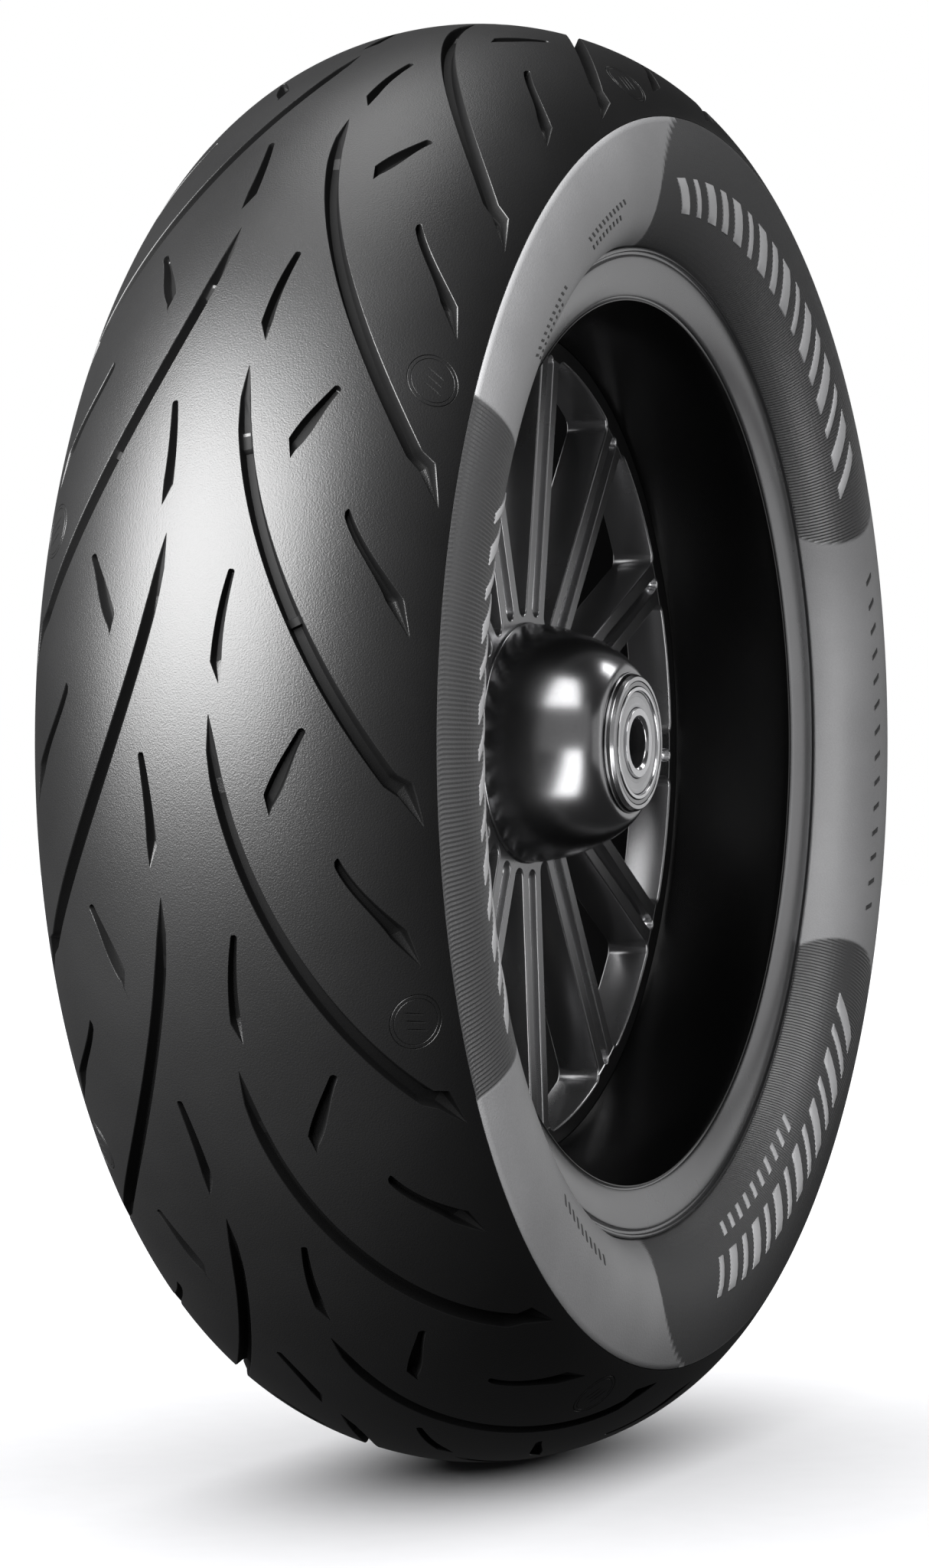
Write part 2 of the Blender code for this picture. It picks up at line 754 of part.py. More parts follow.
def seal_outline(side):
    """A thin ring set into the outer ring's seat, just clear of the inner ring."""
    face = BEARING_WIDTH / 2 - SEAL_RECESS
    low = BEARING_BORE_RADIUS + RACE_LAND + 0.5 * MM
    high = BEARING_OUTER_RADIUS - 1.7 * MM - GAP
    return on_side([
        (face, low), (face, high), (face - SEAL_THICKNESS, high), (face - SEAL_THICKNESS, low),
    ], side)


def ball_mesh(name, centre):
    """All the balls of one bearing, each a faceted sphere on the pitch circle."""
    work = bmesh.new()
    for k in range(BALLS):
        angle = 2 * math.pi * k / BALLS
        made = bmesh.ops.create_uvsphere(work, u_segments=6, v_segments=4, radius=BALL_RADIUS)
        place = (pitch_radius() * math.cos(angle), centre, pitch_radius() * math.sin(angle))
        bmesh.ops.translate(work, verts=made["verts"], vec=place)
    mesh = bpy.data.meshes.new(name)
    work.to_mesh(mesh)
    work.free()
    return mesh


def build_bearing(word, centre, outside):
    """One bearing. Its outside is the side that faces away from the wheel's centre."""
    turned_ring(
        f"bearing_outer_ring_{word}", outer_race_outline(), bearing_steel(),
        BEARING_SEGMENTS, centre,
    )
    turned_ring(
        f"bearing_inner_ring_{word}", inner_race_outline(), bearing_steel(),
        BEARING_SEGMENTS, centre,
    )
    for side, face in ((outside, "outside"), (-outside, "inside")):
        name = f"bearing_seal_{word}_{face}"
        turned_ring(name, seal_outline(side), seal_rubber(), BEARING_SEGMENTS, centre)
    web, half = 0.8 * MM, 2.6 * MM
    cage = [
        (-half, pitch_radius() - web),
        (-half, pitch_radius() + web),
        (half, pitch_radius() + web),
        (half, pitch_radius() - web),
    ]
    name = f"ball_cage_{word}"
    ring = turned_ring(name, cage, bearing_steel(), BEARING_SEGMENTS, centre)
    balls = add_cutter(f"balls_{word}", ball_mesh(f"balls_{word}", centre))
    combine(ring, balls, "UNION")


def build_spacer():
    """The tube that keeps the two inner rings apart along the axle."""
    low = NEAR_BEARING_CENTRE + BEARING_WIDTH / 2 + GAP
    high = FAR_BEARING_CENTRE - BEARING_WIDTH / 2 - GAP
    bore, outer = BEARING_BORE_RADIUS, BEARING_BORE_RADIUS + SPACER_WALL
    outline = [(low, bore), (low, outer), (high, outer), (high, bore)]
    turned_ring("axle_spacer", outline, spoke_metal(), BEARING_SEGMENTS)


# --- Valve -----------------------------------------------------------------------------------


def lathe_mesh(name, outline, segments):
    """The outline of (radius, height) points turned about Z, closed into a tube or onto the axis."""
    rows = [cylinder_section(radius, height, segments) for radius, height in outline]
    count = len(rows)
    points = [point for row in rows for point in row]
    faces = [
        (i * segments + a, i * segments + (a + 1) % segments,
         (i + 1) % count * segments + (a + 1) % segments, (i + 1) % count * segments + a)
        for i in range(count)
        for a in range(segments)
    ]
    mesh = mesh_of(name, points, outwards(points, faces))
    work = bmesh.new()
    work.from_mesh(mesh)
    bmesh.ops.remove_doubles(work, verts=work.verts, dist=1e-6)
    bmesh.ops.dissolve_degenerate(work, edges=work.edges, dist=1e-6)
    work.to_mesh(mesh)
    work.free()
    return mesh


def valve_piece(parent, name, outline, finish, segments=SMALL_SEGMENTS):
    piece = add_object(name, lathe_mesh(name, outline, segments), finish)
    piece.parent = parent
    return piece


def build_valve():
    """Valve pieces on their own axis: height 0 is the well's tire side, +Z points to the axle."""
    place = bpy.data.objects.new("valve_axis", None)
    place.location = (0.0, VALVE_PLACE, -WELL_RADIUS)
    bpy.context.scene.collection.objects.link(place)
    washer_low = -GAP - VALVE_WASHER
    head_high = washer_low - GAP
    head_low = head_high - STEM_HEAD_THICKNESS
    stem = [
        (STEM_BORE, head_low),
        (STEM_HEAD_RADIUS, head_low),
        (STEM_HEAD_RADIUS, head_high),
        (STEM_RADIUS, head_high),
        (STEM_RADIUS, STEM_LENGTH),
        (STEM_BORE, STEM_LENGTH),
    ]
    valve_piece(place, "valve_stem", stem, bearing_steel())
    washer = [
        (VALVE_HOLE, washer_low),
        (STEM_HEAD_RADIUS - 0.3 * MM, washer_low),
        (STEM_HEAD_RADIUS - 0.3 * MM, -GAP),
        (VALVE_HOLE, -GAP),
    ]
    valve_piece(place, "valve_washer", washer, hidden_rubber())
    nut_low = WELL_WALL + 1.0 * MM
    nut_high, nut_radius = nut_low + NUT_THICKNESS, NUT_FLATS / math.sqrt(3)
    inner = STEM_RADIUS + GAP
    nut = add_object("valve_nut", nut_mesh(inner, nut_radius, nut_low, nut_high), bearing_steel())
    nut.parent = place
    core_high = STEM_LENGTH - CORE_RECESS
    core_low = core_high - CORE_LENGTH
    core_radius = STEM_BORE - GAP
    core = [
        (CORE_BORE, core_low),
        (core_radius, core_low),
        (core_radius, core_high),
        (CORE_BORE, core_high),
    ]
    valve_piece(place, "valve_core", core, spoke_metal())
    pin_high, pin_low = core_high + PIN_PROUD, core_low - 3.0 * MM
    pin = [
        (0.0, pin_low),
        (CORE_BORE + 0.7 * MM, pin_low),
        (CORE_BORE + 0.7 * MM, core_low - 2.0 * MM),
        (PIN_RADIUS, core_low - 2.0 * MM),
        (PIN_RADIUS, pin_high),
        (0.0, pin_high),
    ]
    valve_piece(place, "valve_pin", pin, bead_steel(), 8)
    cap_inner = STEM_RADIUS + GAP
    cap_low = STEM_LENGTH - CAP_LENGTH + CAP_WALL + 1.0 * MM
    cap_top_inside = STEM_LENGTH + 1.0 * MM
    cap = [
        (cap_inner, cap_low),
        (cap_inner + CAP_WALL, cap_low),
        (cap_inner + CAP_WALL, cap_top_inside),
        (cap_inner + CAP_WALL / 2, cap_top_inside + CAP_WALL),
        (0.0, cap_top_inside + CAP_WALL),
        (0.0, cap_top_inside),
        (cap_inner, cap_top_inside),
    ]
    valve_piece(place, "valve_cap", cap, hidden_rubber(), CAP_GRIPS)


def nut_mesh(inner, outer, low, high):
    """A hexagon with a round hole: both rims have twelve points, so they bridge one to one."""
    points = []
    for height in (low, high):
        for k in range(12):
            angle = math.pi * k / 6
            flat = outer * math.cos(math.pi / 6)
            reach = outer if k % 2 == 0 else flat
            points.append((reach * math.cos(angle), reach * math.sin(angle), height))
        points.extend(cylinder_section(inner, height, 12))
    faces = []
    for k in range(12):
        j = (k + 1) % 12
        faces.append((k, 12 + k, 12 + j, j))
        faces.append((24 + k, 24 + j, 36 + j, 36 + k))
        faces.append((k, j, 24 + j, 24 + k))
        faces.append((12 + k, 36 + k, 36 + j, 12 + j))
    return mesh_of("valve_nut", points, outwards(points, faces))


def main():
    clear_scene()
    build_tire()
    build_rim()
    build_spoke_disc()
    build_hub()
    build_bearing("near", NEAR_BEARING_CENTRE, NEAR)
    build_bearing("far", FAR_BEARING_CENTRE, FAR)
    build_spacer()
    build_valve()


main()
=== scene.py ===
# %% [markdown]
# # A rear motorcycle wheel with its tire
#
# The object is a wide, belted tire on a cast wheel with thirteen spokes, a long smoked-chrome hub
# dome and a sealed bearing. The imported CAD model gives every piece's place. Here each piece that
# shows gets its fine shape and its finish. Lengths are in metres, the axle is the Y axis, the near
# face looks along -Y, and +Z is up.

# %% Load the frame
import math

import bpy
import numpy as np
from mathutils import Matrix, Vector


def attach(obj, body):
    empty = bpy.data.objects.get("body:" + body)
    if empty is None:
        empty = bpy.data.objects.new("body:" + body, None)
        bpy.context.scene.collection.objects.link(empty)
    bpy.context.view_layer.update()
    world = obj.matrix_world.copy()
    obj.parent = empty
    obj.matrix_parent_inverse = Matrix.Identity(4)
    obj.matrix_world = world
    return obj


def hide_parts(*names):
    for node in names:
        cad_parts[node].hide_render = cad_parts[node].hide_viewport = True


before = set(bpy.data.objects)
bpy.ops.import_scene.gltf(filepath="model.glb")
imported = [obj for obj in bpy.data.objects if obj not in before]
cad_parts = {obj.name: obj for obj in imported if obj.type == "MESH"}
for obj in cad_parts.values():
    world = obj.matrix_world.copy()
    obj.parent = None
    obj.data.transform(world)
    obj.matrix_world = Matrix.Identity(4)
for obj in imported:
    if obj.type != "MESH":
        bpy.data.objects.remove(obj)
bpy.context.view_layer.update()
MM = 0.001

# %% [markdown]
# ## Tools for surfaces
#
# Nearly every piece is a ring turned about the axle, or a section carried along a path. Both are
# grids of points, so one function makes the quads of a grid and another puts them in a mesh. Faces
# are turned outwards by the sign of the volume that they enclose, which can't be fooled by a hollow
# ring the way a guess from a centre point can.

# %% Grids and meshes
def mm(values):
    """An array in metres of numbers in millimetres."""
    return np.asarray(values, float) * MM


def grid_quads(rows, columns, wrap_rows=True):
    """Quads between neighbouring points of a grid that is stored row after row. Its columns close
    into rings, and so do its rows unless they are left open."""
    row, column = np.arange(rows if wrap_rows else rows - 1)[:, None], np.arange(columns)
    here, there, after = row * columns, (row + 1) % rows * columns, (column + 1) % columns
    corners = (here + column, here + after, there + after, there + column)
    return np.stack(corners, axis=-1).reshape(-1, 4)


def turns(count):
    """Angles at even steps round a full turn, from 0."""
    return np.arange(count) * 2 * np.pi / count


def enclosed_volume(points, quads):
    """The volume in closed quads: a sixth of the sum of each triangle's triple product."""
    a, b, c, d = (points[quads[:, i]] for i in range(4))
    return float(sum(np.einsum("ij,ij->", a, np.cross(*pair)) for pair in ((b, c), (c, d)))) / 6


def outward(points, quads):
    """The quads, turned round where the volume that they enclose is negative."""
    return quads[:, ::-1] if enclosed_volume(points, quads) < 0 else quads


def mesh_from(name, points, quads, caps=()):
    """A mesh of quads and of end caps, with smooth faces."""
    mesh = bpy.data.meshes.new(name)
    mesh.from_pydata(points.tolist(), [], quads.tolist() + [list(cap) for cap in caps])
    mesh.shade_smooth()
    return mesh


def in_scene(name, data):
    """A new object at the origin, in the scene."""
    made = bpy.data.objects.new(name, data)
    bpy.context.scene.collection.objects.link(made)
    return made


def add_piece(name, mesh, *finishes):
    for chosen in finishes:
        mesh.materials.append(chosen)
    return in_scene(name, mesh)


def stands_for(piece, node, body="wheel"):
    """The piece rides on a body and takes the place of a CAD node, which is hidden."""
    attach(piece, body)
    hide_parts(node)


# %% Turned rings
def turned(profile, segments):
    """The grid of a closed (y, radius) profile turned about Y: (r cos a, y, r sin a)."""
    y, radius = np.asarray(profile, float).T
    angle = turns(segments)
    points = np.stack([
        np.outer(np.cos(angle), radius), np.tile(y, (segments, 1)), np.outer(np.sin(angle), radius),
    ], axis=-1).reshape(-1, 3)
    return points, outward(points, grid_quads(segments, len(y)))


LONGEST_CUT, SUPPORT = 0.36, 1.35  # shares of the shorter side, and of the cut


def softened(corners, cut):
    """Each corner becomes a small arc: a parabola from one cut point to the other, with a flat
    strip kept beyond both, so that the long faces stay flat under smooth shading."""
    corners = np.asarray(corners, float)
    before, after = np.roll(corners, 1, axis=0), np.roll(corners, -1, axis=0)
    ways = [near - corners for near in (before, after)]
    lengths = [np.linalg.norm(way, axis=1, keepdims=True) for way in ways]
    cut = np.minimum(np.broadcast_to(np.atleast_1d(cut), len(corners))[:, None],
                     LONGEST_CUT * np.minimum(*lengths))
    start, end = (corners + way / length * cut for way, length in zip(ways, lengths))
    support_in, support_out = (
        corners + way / length * cut * SUPPORT for way, length in zip(ways, lengths)
    )
    t = np.linspace(0, 1, 5)[None, :, None]
    arc = (1 - t) ** 2 * start[:, None] + 2 * t * (1 - t) * corners[:, None] + t**2 * end[:, None]
    return np.concatenate([support_in[:, None], arc, support_out[:, None]], axis=1).reshape(-1, 2)


def turned_piece(name, profile, segments, *finishes):
    points, quads = turned(profile, segments)
    return add_piece(name, mesh_from(name, points, quads), *finishes)


# %% [markdown]
# ## Cutting
#
# Grooves, windows and channels are closed tubes of cross-sections, taken out of a turned ring by a
# Boolean. The manifold solver is quick and exact enough for this, as long as every cutter is
# closed. After the cut an edge is kept sharp where a smooth outer face meets a wall.

# %% Cutters
def tubes(name, sections, closed=False):
    """Tubes from an array (tube, section, corner, xyz), all in one mesh. Their ends are capped, or
    joined to each other where the path is closed."""
    count, rows, corners, _ = sections.shape
    one_tube = sections[0].reshape(-1, 3)
    quads = grid_quads(rows, corners, wrap_rows=closed)
    base = (np.arange(count) * rows * corners)[:, None, None]
    caps = ()
    if closed:
        quads = outward(one_tube, quads)
    else:
        first = np.arange(corners)
        ends = np.stack([first[::-1], first + (rows - 1) * corners])
        hinge = ends[:, :1].repeat(corners - 2, 1)
        fan = np.stack([hinge, ends[:, 1:-1], ends[:, 2:], ends[:, 2:]], -1).reshape(-1, 4)
        if enclosed_volume(one_tube, np.concatenate([quads, fan])) < 0:
            quads, ends = quads[:, ::-1], ends[:, ::-1]
        caps = (base + ends).reshape(-1, corners).tolist()
    return mesh_from(name, sections.reshape(-1, 3), (base + quads).reshape(-1, 4), caps)


def about_axle(points, angles):
    """Copies of points turned about the axle by each angle, from +X towards +Z."""
    cos, sin = np.cos(angles), np.sin(angles)
    shape = (len(cos),) + (1,) * (points.ndim - 1)
    cos, sin = cos.reshape(shape), sin.reshape(shape)
    x, y, z = points[..., 0], points[..., 1], points[..., 2]
    return np.stack([x * cos - z * sin, y + 0 * cos, x * sin + z * cos], axis=-1)


def cut_away(piece, *cutters):
    """Takes each cutter mesh out of the piece and keeps only the result."""
    helpers = []
    for cutter in cutters:
        helper = in_scene(cutter.name, cutter)
        helpers.append(helper)
        step = piece.modifiers.new(cutter.name, "BOOLEAN")
        step.operation, step.solver, step.object = "DIFFERENCE", "MANIFOLD", helper
    depsgraph = bpy.context.evaluated_depsgraph_get()
    result = bpy.data.meshes.new_from_object(piece.evaluated_get(depsgraph))
    piece.modifiers.clear()
    piece.data = result
    for helper in helpers:
        bpy.data.objects.remove(helper, do_unlink=True)


# %% Reading and marking a mesh
def read(items, attribute, width=3):
    """One attribute of all faces, vertices or corners as an array: rows of three, or whole numbers
    where the width is 1."""
    values = np.empty(len(items) * width, int if width == 1 else float)
    items.foreach_get(attribute, values)
    return values if width == 1 else values.reshape(-1, width)


def finish_faces(mesh, number):
    """Gives each face the number of its finish: 0, or 1 where it is marked, and so on."""
    mesh.polygons.foreach_set("material_index", number.astype(np.int32))


def sharpen(mesh, apart=None, angle=40):
    """Sharp edges where two faces turn by more than the angle, or only one is set apart."""
    normals, totals = read(mesh.polygons, "normal"), read(mesh.polygons, "loop_total", 1)
    face_of_corner = np.repeat(np.arange(len(totals)), totals)
    order = np.argsort(read(mesh.loops, "edge_index", 1), kind="stable")
    one, other = face_of_corner[order].reshape(-1, 2).T
    sharp = np.einsum("ij,ij->i", normals[one], normals[other]) < math.cos(math.radians(angle))
    if apart is not None:
        sharp |= apart[one] != apart[other]
    mesh.attributes.new("sharp_edge", "BOOLEAN", "EDGE").data.foreach_set("value", sharp)


# %% [markdown]
# ## Finishes
#
# Each finish starts from the same recipe: a slow cloud that drifts the colour, a fine grain that
# varies the roughness, and a bump for the skin of the material. The scale and strength differ: a
# moulded rubber has a sandy skin, a cast spoke a satin paint, a dome of smoked chrome almost
# nothing. The patterns read object coordinates, so they stay on the piece when it turns.

# %% A recipe for finishes
GRAIN_IN_COLOUR = 0.35  # how much of the fine grain joins the cloud in the colour
COLOUR_STOPS = (0.45, 0.9)  # where the dark and the light colour are reached


def add_node(owner, kind, **sockets):
    """A new node of a material or a world, with its sockets set by name."""
    node = owner.node_tree.nodes.new("ShaderNode" + kind)
    set_sockets(node, sockets)
    return node


def set_sockets(node, sockets):
    for socket, value in sockets.items():
        node.inputs[socket.replace("_", " ")].default_value = value


def grey(value):
    return (value, value, value * 1.02)


def finish(name, dark, light, rough, cloud, grain, bump, metallic=0.0, **sockets):
    """Cloud and grain are noise scales per metre, rough is a (low, high) pair, bump is in mm. A
    colour that is one number is a grey."""
    made = bpy.data.materials.new(name)
    made.use_nodes = True
    link, shader = made.node_tree.links.new, made.node_tree.nodes["Principled BSDF"]
    place = add_node(made, "TexCoord")
    clouds = add_node(made, "TexNoise", Scale=cloud, Detail=4)
    grains = add_node(made, "TexNoise", Scale=grain, Detail=3)
    for noise in (clouds, grains):
        link(place.outputs["Object"], noise.inputs["Vector"])
    mix = add_node(made, "Math")
    mix.operation, mix.inputs[1].default_value = "MULTIPLY_ADD", GRAIN_IN_COLOUR
    link(grains.outputs["Fac"], mix.inputs[0])
    link(clouds.outputs["Fac"], mix.inputs[2])
    tint = add_node(made, "ValToRGB")
    for stop, position, tone in zip(tint.color_ramp.elements, COLOUR_STOPS, (dark, light)):
        colour = tone if isinstance(tone, tuple) else grey(tone)
        stop.position, stop.color = position, (*colour, 1)
    link(mix.outputs[0], tint.inputs["Fac"])
    link(tint.outputs["Color"], shader.inputs["Base Color"])
    spread = add_node(made, "MapRange", To_Min=rough[0], To_Max=rough[1])
    link(clouds.outputs["Fac"], spread.inputs["Value"])
    link(spread.outputs["Result"], shader.inputs["Roughness"])
    skin = add_node(made, "Bump", Strength=1.0, Distance=bump * MM)
    link(grains.outputs["Fac"], skin.inputs["Height"])
    link(skin.outputs["Normal"], shader.inputs["Normal"])
    set_sockets(shader, {"Metallic": metallic, **sockets})
    return made


def tint_by(made, mask, colour, rough=None):
    """Blends the finish's colour towards another colour, and its roughness, where the mask is 1."""
    link, shader = made.node_tree.links.new, made.node_tree.nodes["Principled BSDF"]
    for socket, kind, value in (
        ("Base Color", "RGBA", (*colour, 1)), ("Roughness", "FLOAT", rough),
    ):
        if value is None:
            continue
        blend = add_node(made, "Mix")
        blend.data_type = kind
        link(mask, blend.inputs["Factor"])
        link(shader.inputs[socket].links[0].from_socket, blend.inputs["A"])
        blend.inputs["B"].default_value = value
        link(blend.outputs["Result"], shader.inputs[socket])


# %% The finishes
TREAD_RUBBER = finish("tread_rubber", 0.005, 0.009, (0.35, 0.41), 9, 1500, 0.12)
# The grooves' rubber is painted darker and less glossy than the tread's: painted shade deep in the
# grooves.
GROOVE_SHADE_RUBBER = finish("groove_painted_shade", 0.003, 0.006, (0.5, 0.6), 9, 1500, 0.03,
                       Specular_IOR_Level=0.1)
# The sidewall rubber is painted much lighter than the tread's, as painted sheen for the grazing
# light on the walls.
SIDEWALL_SHEEN_AND_SHADE = finish("sidewall_rubber", 0.14, 0.19, (0.46, 0.56), 14, 1300, 0.14)
MARK_RUBBER = finish("mark_rubber", 0.25, 0.33, (0.42, 0.52), 20, 1300, 0.03)
FINE_PRINT = finish("fine_print", 0.012, 0.02, (0.5, 0.6), 30, 900, 0.02)
SATIN_LIP = finish("satin_lip", 0.20, 0.25, (0.24, 0.30), 10, 1800, 0.004, 0.85)
GLOSS_BLACK = finish("gloss_black", 0.004, 0.007, (0.22, 0.28), 8, 700, 0.003)
SPOKE_SATIN = finish("spoke_satin", 0.20, 0.26, (0.24, 0.30), 16, 1400, 0.006, 0.95)
CHANNEL_METAL = finish("channel_metal", 0.50, 0.60, (0.18, 0.24), 16, 1400, 0.004, 1.0)
SMOKED_CHROME = finish("smoked_chrome", 0.24, 0.29, (0.20, 0.25), 12, 900, 0.0015, 1.0)
NOSE_CHROME = finish("nose_chrome", 0.42, 0.48, (0.18, 0.24), 30, 900, 0.0015, 1.0)
RACE_STEEL = finish("race_steel", 0.55, 0.66, (0.16, 0.24), 40, 1600, 0.002, 1.0)
SEAL_RUBBER = finish("seal_rubber", 0.40, 0.48, (0.5, 0.62), 60, 1500, 0.01)
INNER_RUBBER = finish("inner_rubber", 0.02, 0.035, (0.6, 0.8), 25, 600, 0.05)
TURNED_METAL = finish("turned_metal", 0.4, 0.5, (0.28, 0.4), 40, 900, 0.01, 1.0)
CAP_PLASTIC = finish("cap_plastic", 0.012, 0.02, (0.45, 0.6), 90, 1800, 0.015)
CORD_PLY = finish("cord_ply", (0.34, 0.27, 0.15), (0.52, 0.44, 0.27), (0.6, 0.8), 60, 500, 0.15)
BEAD_STEEL = finish("bead_steel", (0.42, 0.31, 0.16), (0.62, 0.48, 0.27), (0.3, 0.45), 50, 700,
                    0.05, 1.0)
VALVE_NICKEL = finish("valve_nickel", (0.5, 0.48, 0.42), (0.62, 0.6, 0.53), (0.22, 0.32), 80, 1200,
                      0.004, 1.0)
print("finishes made:", len(bpy.data.materials))

# %% [markdown]
# ## The tire's section
#
# A tire's outside is one smooth curve from the crown to the bead. The upper half is a superellipse,
# a little fuller than an ellipse, and the lower half is a quarter ellipse that tucks in behind the
# rim's flange. Grooves and marks are laid out on it in two flat measures: how far across the crown,
# and how far round. A table of the curve by its own length turns these into places in space.

# %% Sizes of the tire
TIRE_RADIUS, HALF_WIDTH, CROWN_HEIGHT = 320 * MM, 94.9 * MM, 69.3 * MM
WIDEST_RADIUS = TIRE_RADIUS - CROWN_HEIGHT
CROWN_POWER, EDGE_HEIGHT = 1.974, 24.4 * MM
SHOULDER = np.array([66.0, 219.3]) * MM  # where the sidewall meets the rim's flange
BEAD_FACE, BEAD_BASE, BEAD_WIDTH = 63.2 * MM, 203.1 * MM, 19 * MM
PITCHES = 14
PITCH = 2 * math.pi / PITCHES
SEAM = 0.15 * MM  # half of the line between tread and sidewall
NEAR, FAR = -1, 1


def section_curve(upper, lower):
    """(y, radius) and outward normal down one half: superellipse for the upper angles, from 90
    degrees at the crown to 0 at the widest point, then the lower quarter ellipse from 0 to 90."""
    share = 2 / CROWN_POWER
    across, up = np.cos(upper) ** share, np.sin(upper) ** share
    crown = np.stack([HALF_WIDTH * across, WIDEST_RADIUS + CROWN_HEIGHT * up], -1)
    crown_normal = np.stack([
        across ** (CROWN_POWER - 1) / HALF_WIDTH, up ** (CROWN_POWER - 1) / CROWN_HEIGHT,
    ], -1)
    wide, tall = HALF_WIDTH - SHOULDER[0], WIDEST_RADIUS - SHOULDER[1]
    wall = SHOULDER + np.stack([wide * np.cos(lower), tall * (1 - np.sin(lower))], -1)
    wall_normal = np.stack([np.cos(lower) / wide, -np.sin(lower) / tall], -1)
    points, normals = np.concatenate([crown, wall]), np.concatenate([crown_normal, wall_normal])
    return points, normals / np.linalg.norm(normals, axis=1, keepdims=True)


# %% The section as a table
def length_table(points):
    """The length of a line of points up to each of them."""
    return np.concatenate([[0], np.cumsum(np.linalg.norm(np.diff(points, axis=0), axis=1))])


CROWN_ROWS, WALL_ROWS = 1500, 700
quarter, sliver = math.pi / 2, 1e-4  # the sliver keeps the normals clear of the curve's ends
curve, curve_normal = section_curve(
    np.linspace(quarter, sliver, CROWN_ROWS), np.linspace(sliver, quarter - sliver, WALL_ROWS)
)
along_curve = length_table(curve)
EDGE_LENGTH = float(np.interp(-(WIDEST_RADIUS + EDGE_HEIGHT), -curve[:, 1], along_curve))
WALL_LENGTH = float(along_curve[-1]) - EDGE_LENGTH
print(f"half the tread is {EDGE_LENGTH / MM:.1f} mm across, a sidewall {WALL_LENGTH / MM:.1f} mm")


def at_length(length):
    """The curve's y and radius, and its normal's, at a length from the crown's centre."""
    return [np.interp(length, along_curve, column) for column in (*curve.T, *curve_normal.T)]


def on_tire(across, turn, height):
    """A point of the outside: across the section from the crown's centre (near side negative),
    turned from the front up (radians), and raised along the outward normal."""
    across, turn, height = np.broadcast_arrays(across, turn, height)
    y, radius, out_y, out_radius = at_length(np.abs(across))
    y, radius = np.where(across < 0, -1.0, 1.0) * (y + out_y * height), radius + out_radius * height
    return np.stack([-radius * np.cos(turn), y, radius * np.sin(turn)], axis=-1)


# %% [markdown]
# ## The tread
#
# The tread is a band of dark rubber. Each half has fourteen long grooves that start in a point near
# the centre, run almost round the tire and then sweep out to the shoulder, and three short slits
# between them: one beside the start, one across the middle and one at the shoulder. Water leaves
# through them. The far half is the near one mirrored and moved half a pitch. A band with straight
# grid lines can't follow these curves, so each groove is cut. Its cross-section has a small rolled
# edge, steep walls and a rounded floor, and its floor rises as a flat ramp at the pointed ends.
# Deep in the grooves the rubber is painted darker and duller, as painted shade, where the outside
# is smooth and has a sheen, so the two have a finish each.

# %% The band
BAND_THICK, BAND_THINS, THINS_FROM = 8.5 * MM, 1.8 * MM, 0.7  # and the share where it gets thinner
SEGMENTS_PER_PITCH = 26


def tread_profile():
    """The outside from edge to edge, then back along the underside."""
    across = np.linspace(-1, 1, 75) * (EDGE_LENGTH - SEAM)
    outside = on_tire(across, math.pi, 0)
    share = np.abs(across[::-3]) / EDGE_LENGTH
    depth = BAND_THICK - BAND_THINS * np.clip((share - THINS_FROM) / (1 - THINS_FROM), 0, 1)
    inside = on_tire(across[::-3], math.pi, -depth)
    return np.concatenate([outside, inside])[:, [1, 0]]


tread = turned_piece(
    "tread_band", tread_profile(), PITCHES * SEGMENTS_PER_PITCH, TREAD_RUBBER, GROOVE_SHADE_RUBBER
)
print("band of rubber before cutting:", len(tread.data.polygons), "quads")


# %% Cross-sections of a groove
# Corners from the left lip over the floor to the right lip: shares of the lip, of the half width
# and of the depth. The lips lie outside the groove and above the tread, so that the cut is clean.
LIP_OUT = mm([1.5, 0.40, 0.12, 0, 0, 0, 0, 0, 0, -0.12, -0.40, -1.5])
LIP_UP = mm([1.1, 0.05, -0.20, -0.6, 0, 0, 0, 0, -0.6, -0.20, 0.05, 1.1])
WALL_IN = np.array([0, 0, 0, 0.02, 0.20, 0.42, 0.42, 0.20, 0.02, 0, 0, 0])
DOWN = np.array([0, 0, 0, 0, 0.80, 1, 1, 0.80, 0, 0, 0, 0])
FULL_LIP = 2 * MM  # the depth from which the lip has its whole height
DEGREE = 5.2  # mm round the tread for one degree


def groove_tube(left, right, depth, lip):
    """Sections between two edges, each an (n, 2) array of (across, around) in mm and degrees. Depth
    and lip are one number for each section. The lips widen along the line from edge to edge."""
    around = math.radians(1) * 300 * MM  # a degree at a radius of 300 mm
    reach = (right - left) * np.array([MM, around])
    span = np.linalg.norm(reach, axis=1, keepdims=True)
    middle = reach[len(reach) // 2] / span[len(reach) // 2]
    aim = np.where(span > 1.0 * MM, reach / np.maximum(span, 1e-9), middle)
    share = np.where(np.arange(12) < 6, WALL_IN / 2, 1 - WALL_IN / 2)[None, :]
    offset = -LIP_OUT[None, :] * lip[:, None]
    across = left[:, :1] * MM + reach[:, :1] * share + aim[:, :1] * offset
    turn = left[:, 1:] * around + reach[:, 1:] * share + aim[:, 1:] * offset
    low_lip = np.minimum(1, depth[:, None] / FULL_LIP)
    height = LIP_UP[None, :] * np.where(LIP_UP > 0, 1, low_lip)
    return across, turn / around * math.radians(1), height - DOWN[None, :] * depth[:, None]


def cubic(stations, t):
    """The cubic through four stations that are spaced by the length between them."""
    stations = np.asarray(stations, float)
    place = length_table(stations * [1, DEGREE])
    place = place / place[-1]
    return np.stack([np.polyval(np.polyfit(place, column, 3), t) for column in stations.T], -1)


SLIT_ROWS, CAP_ROWS = 15, 4


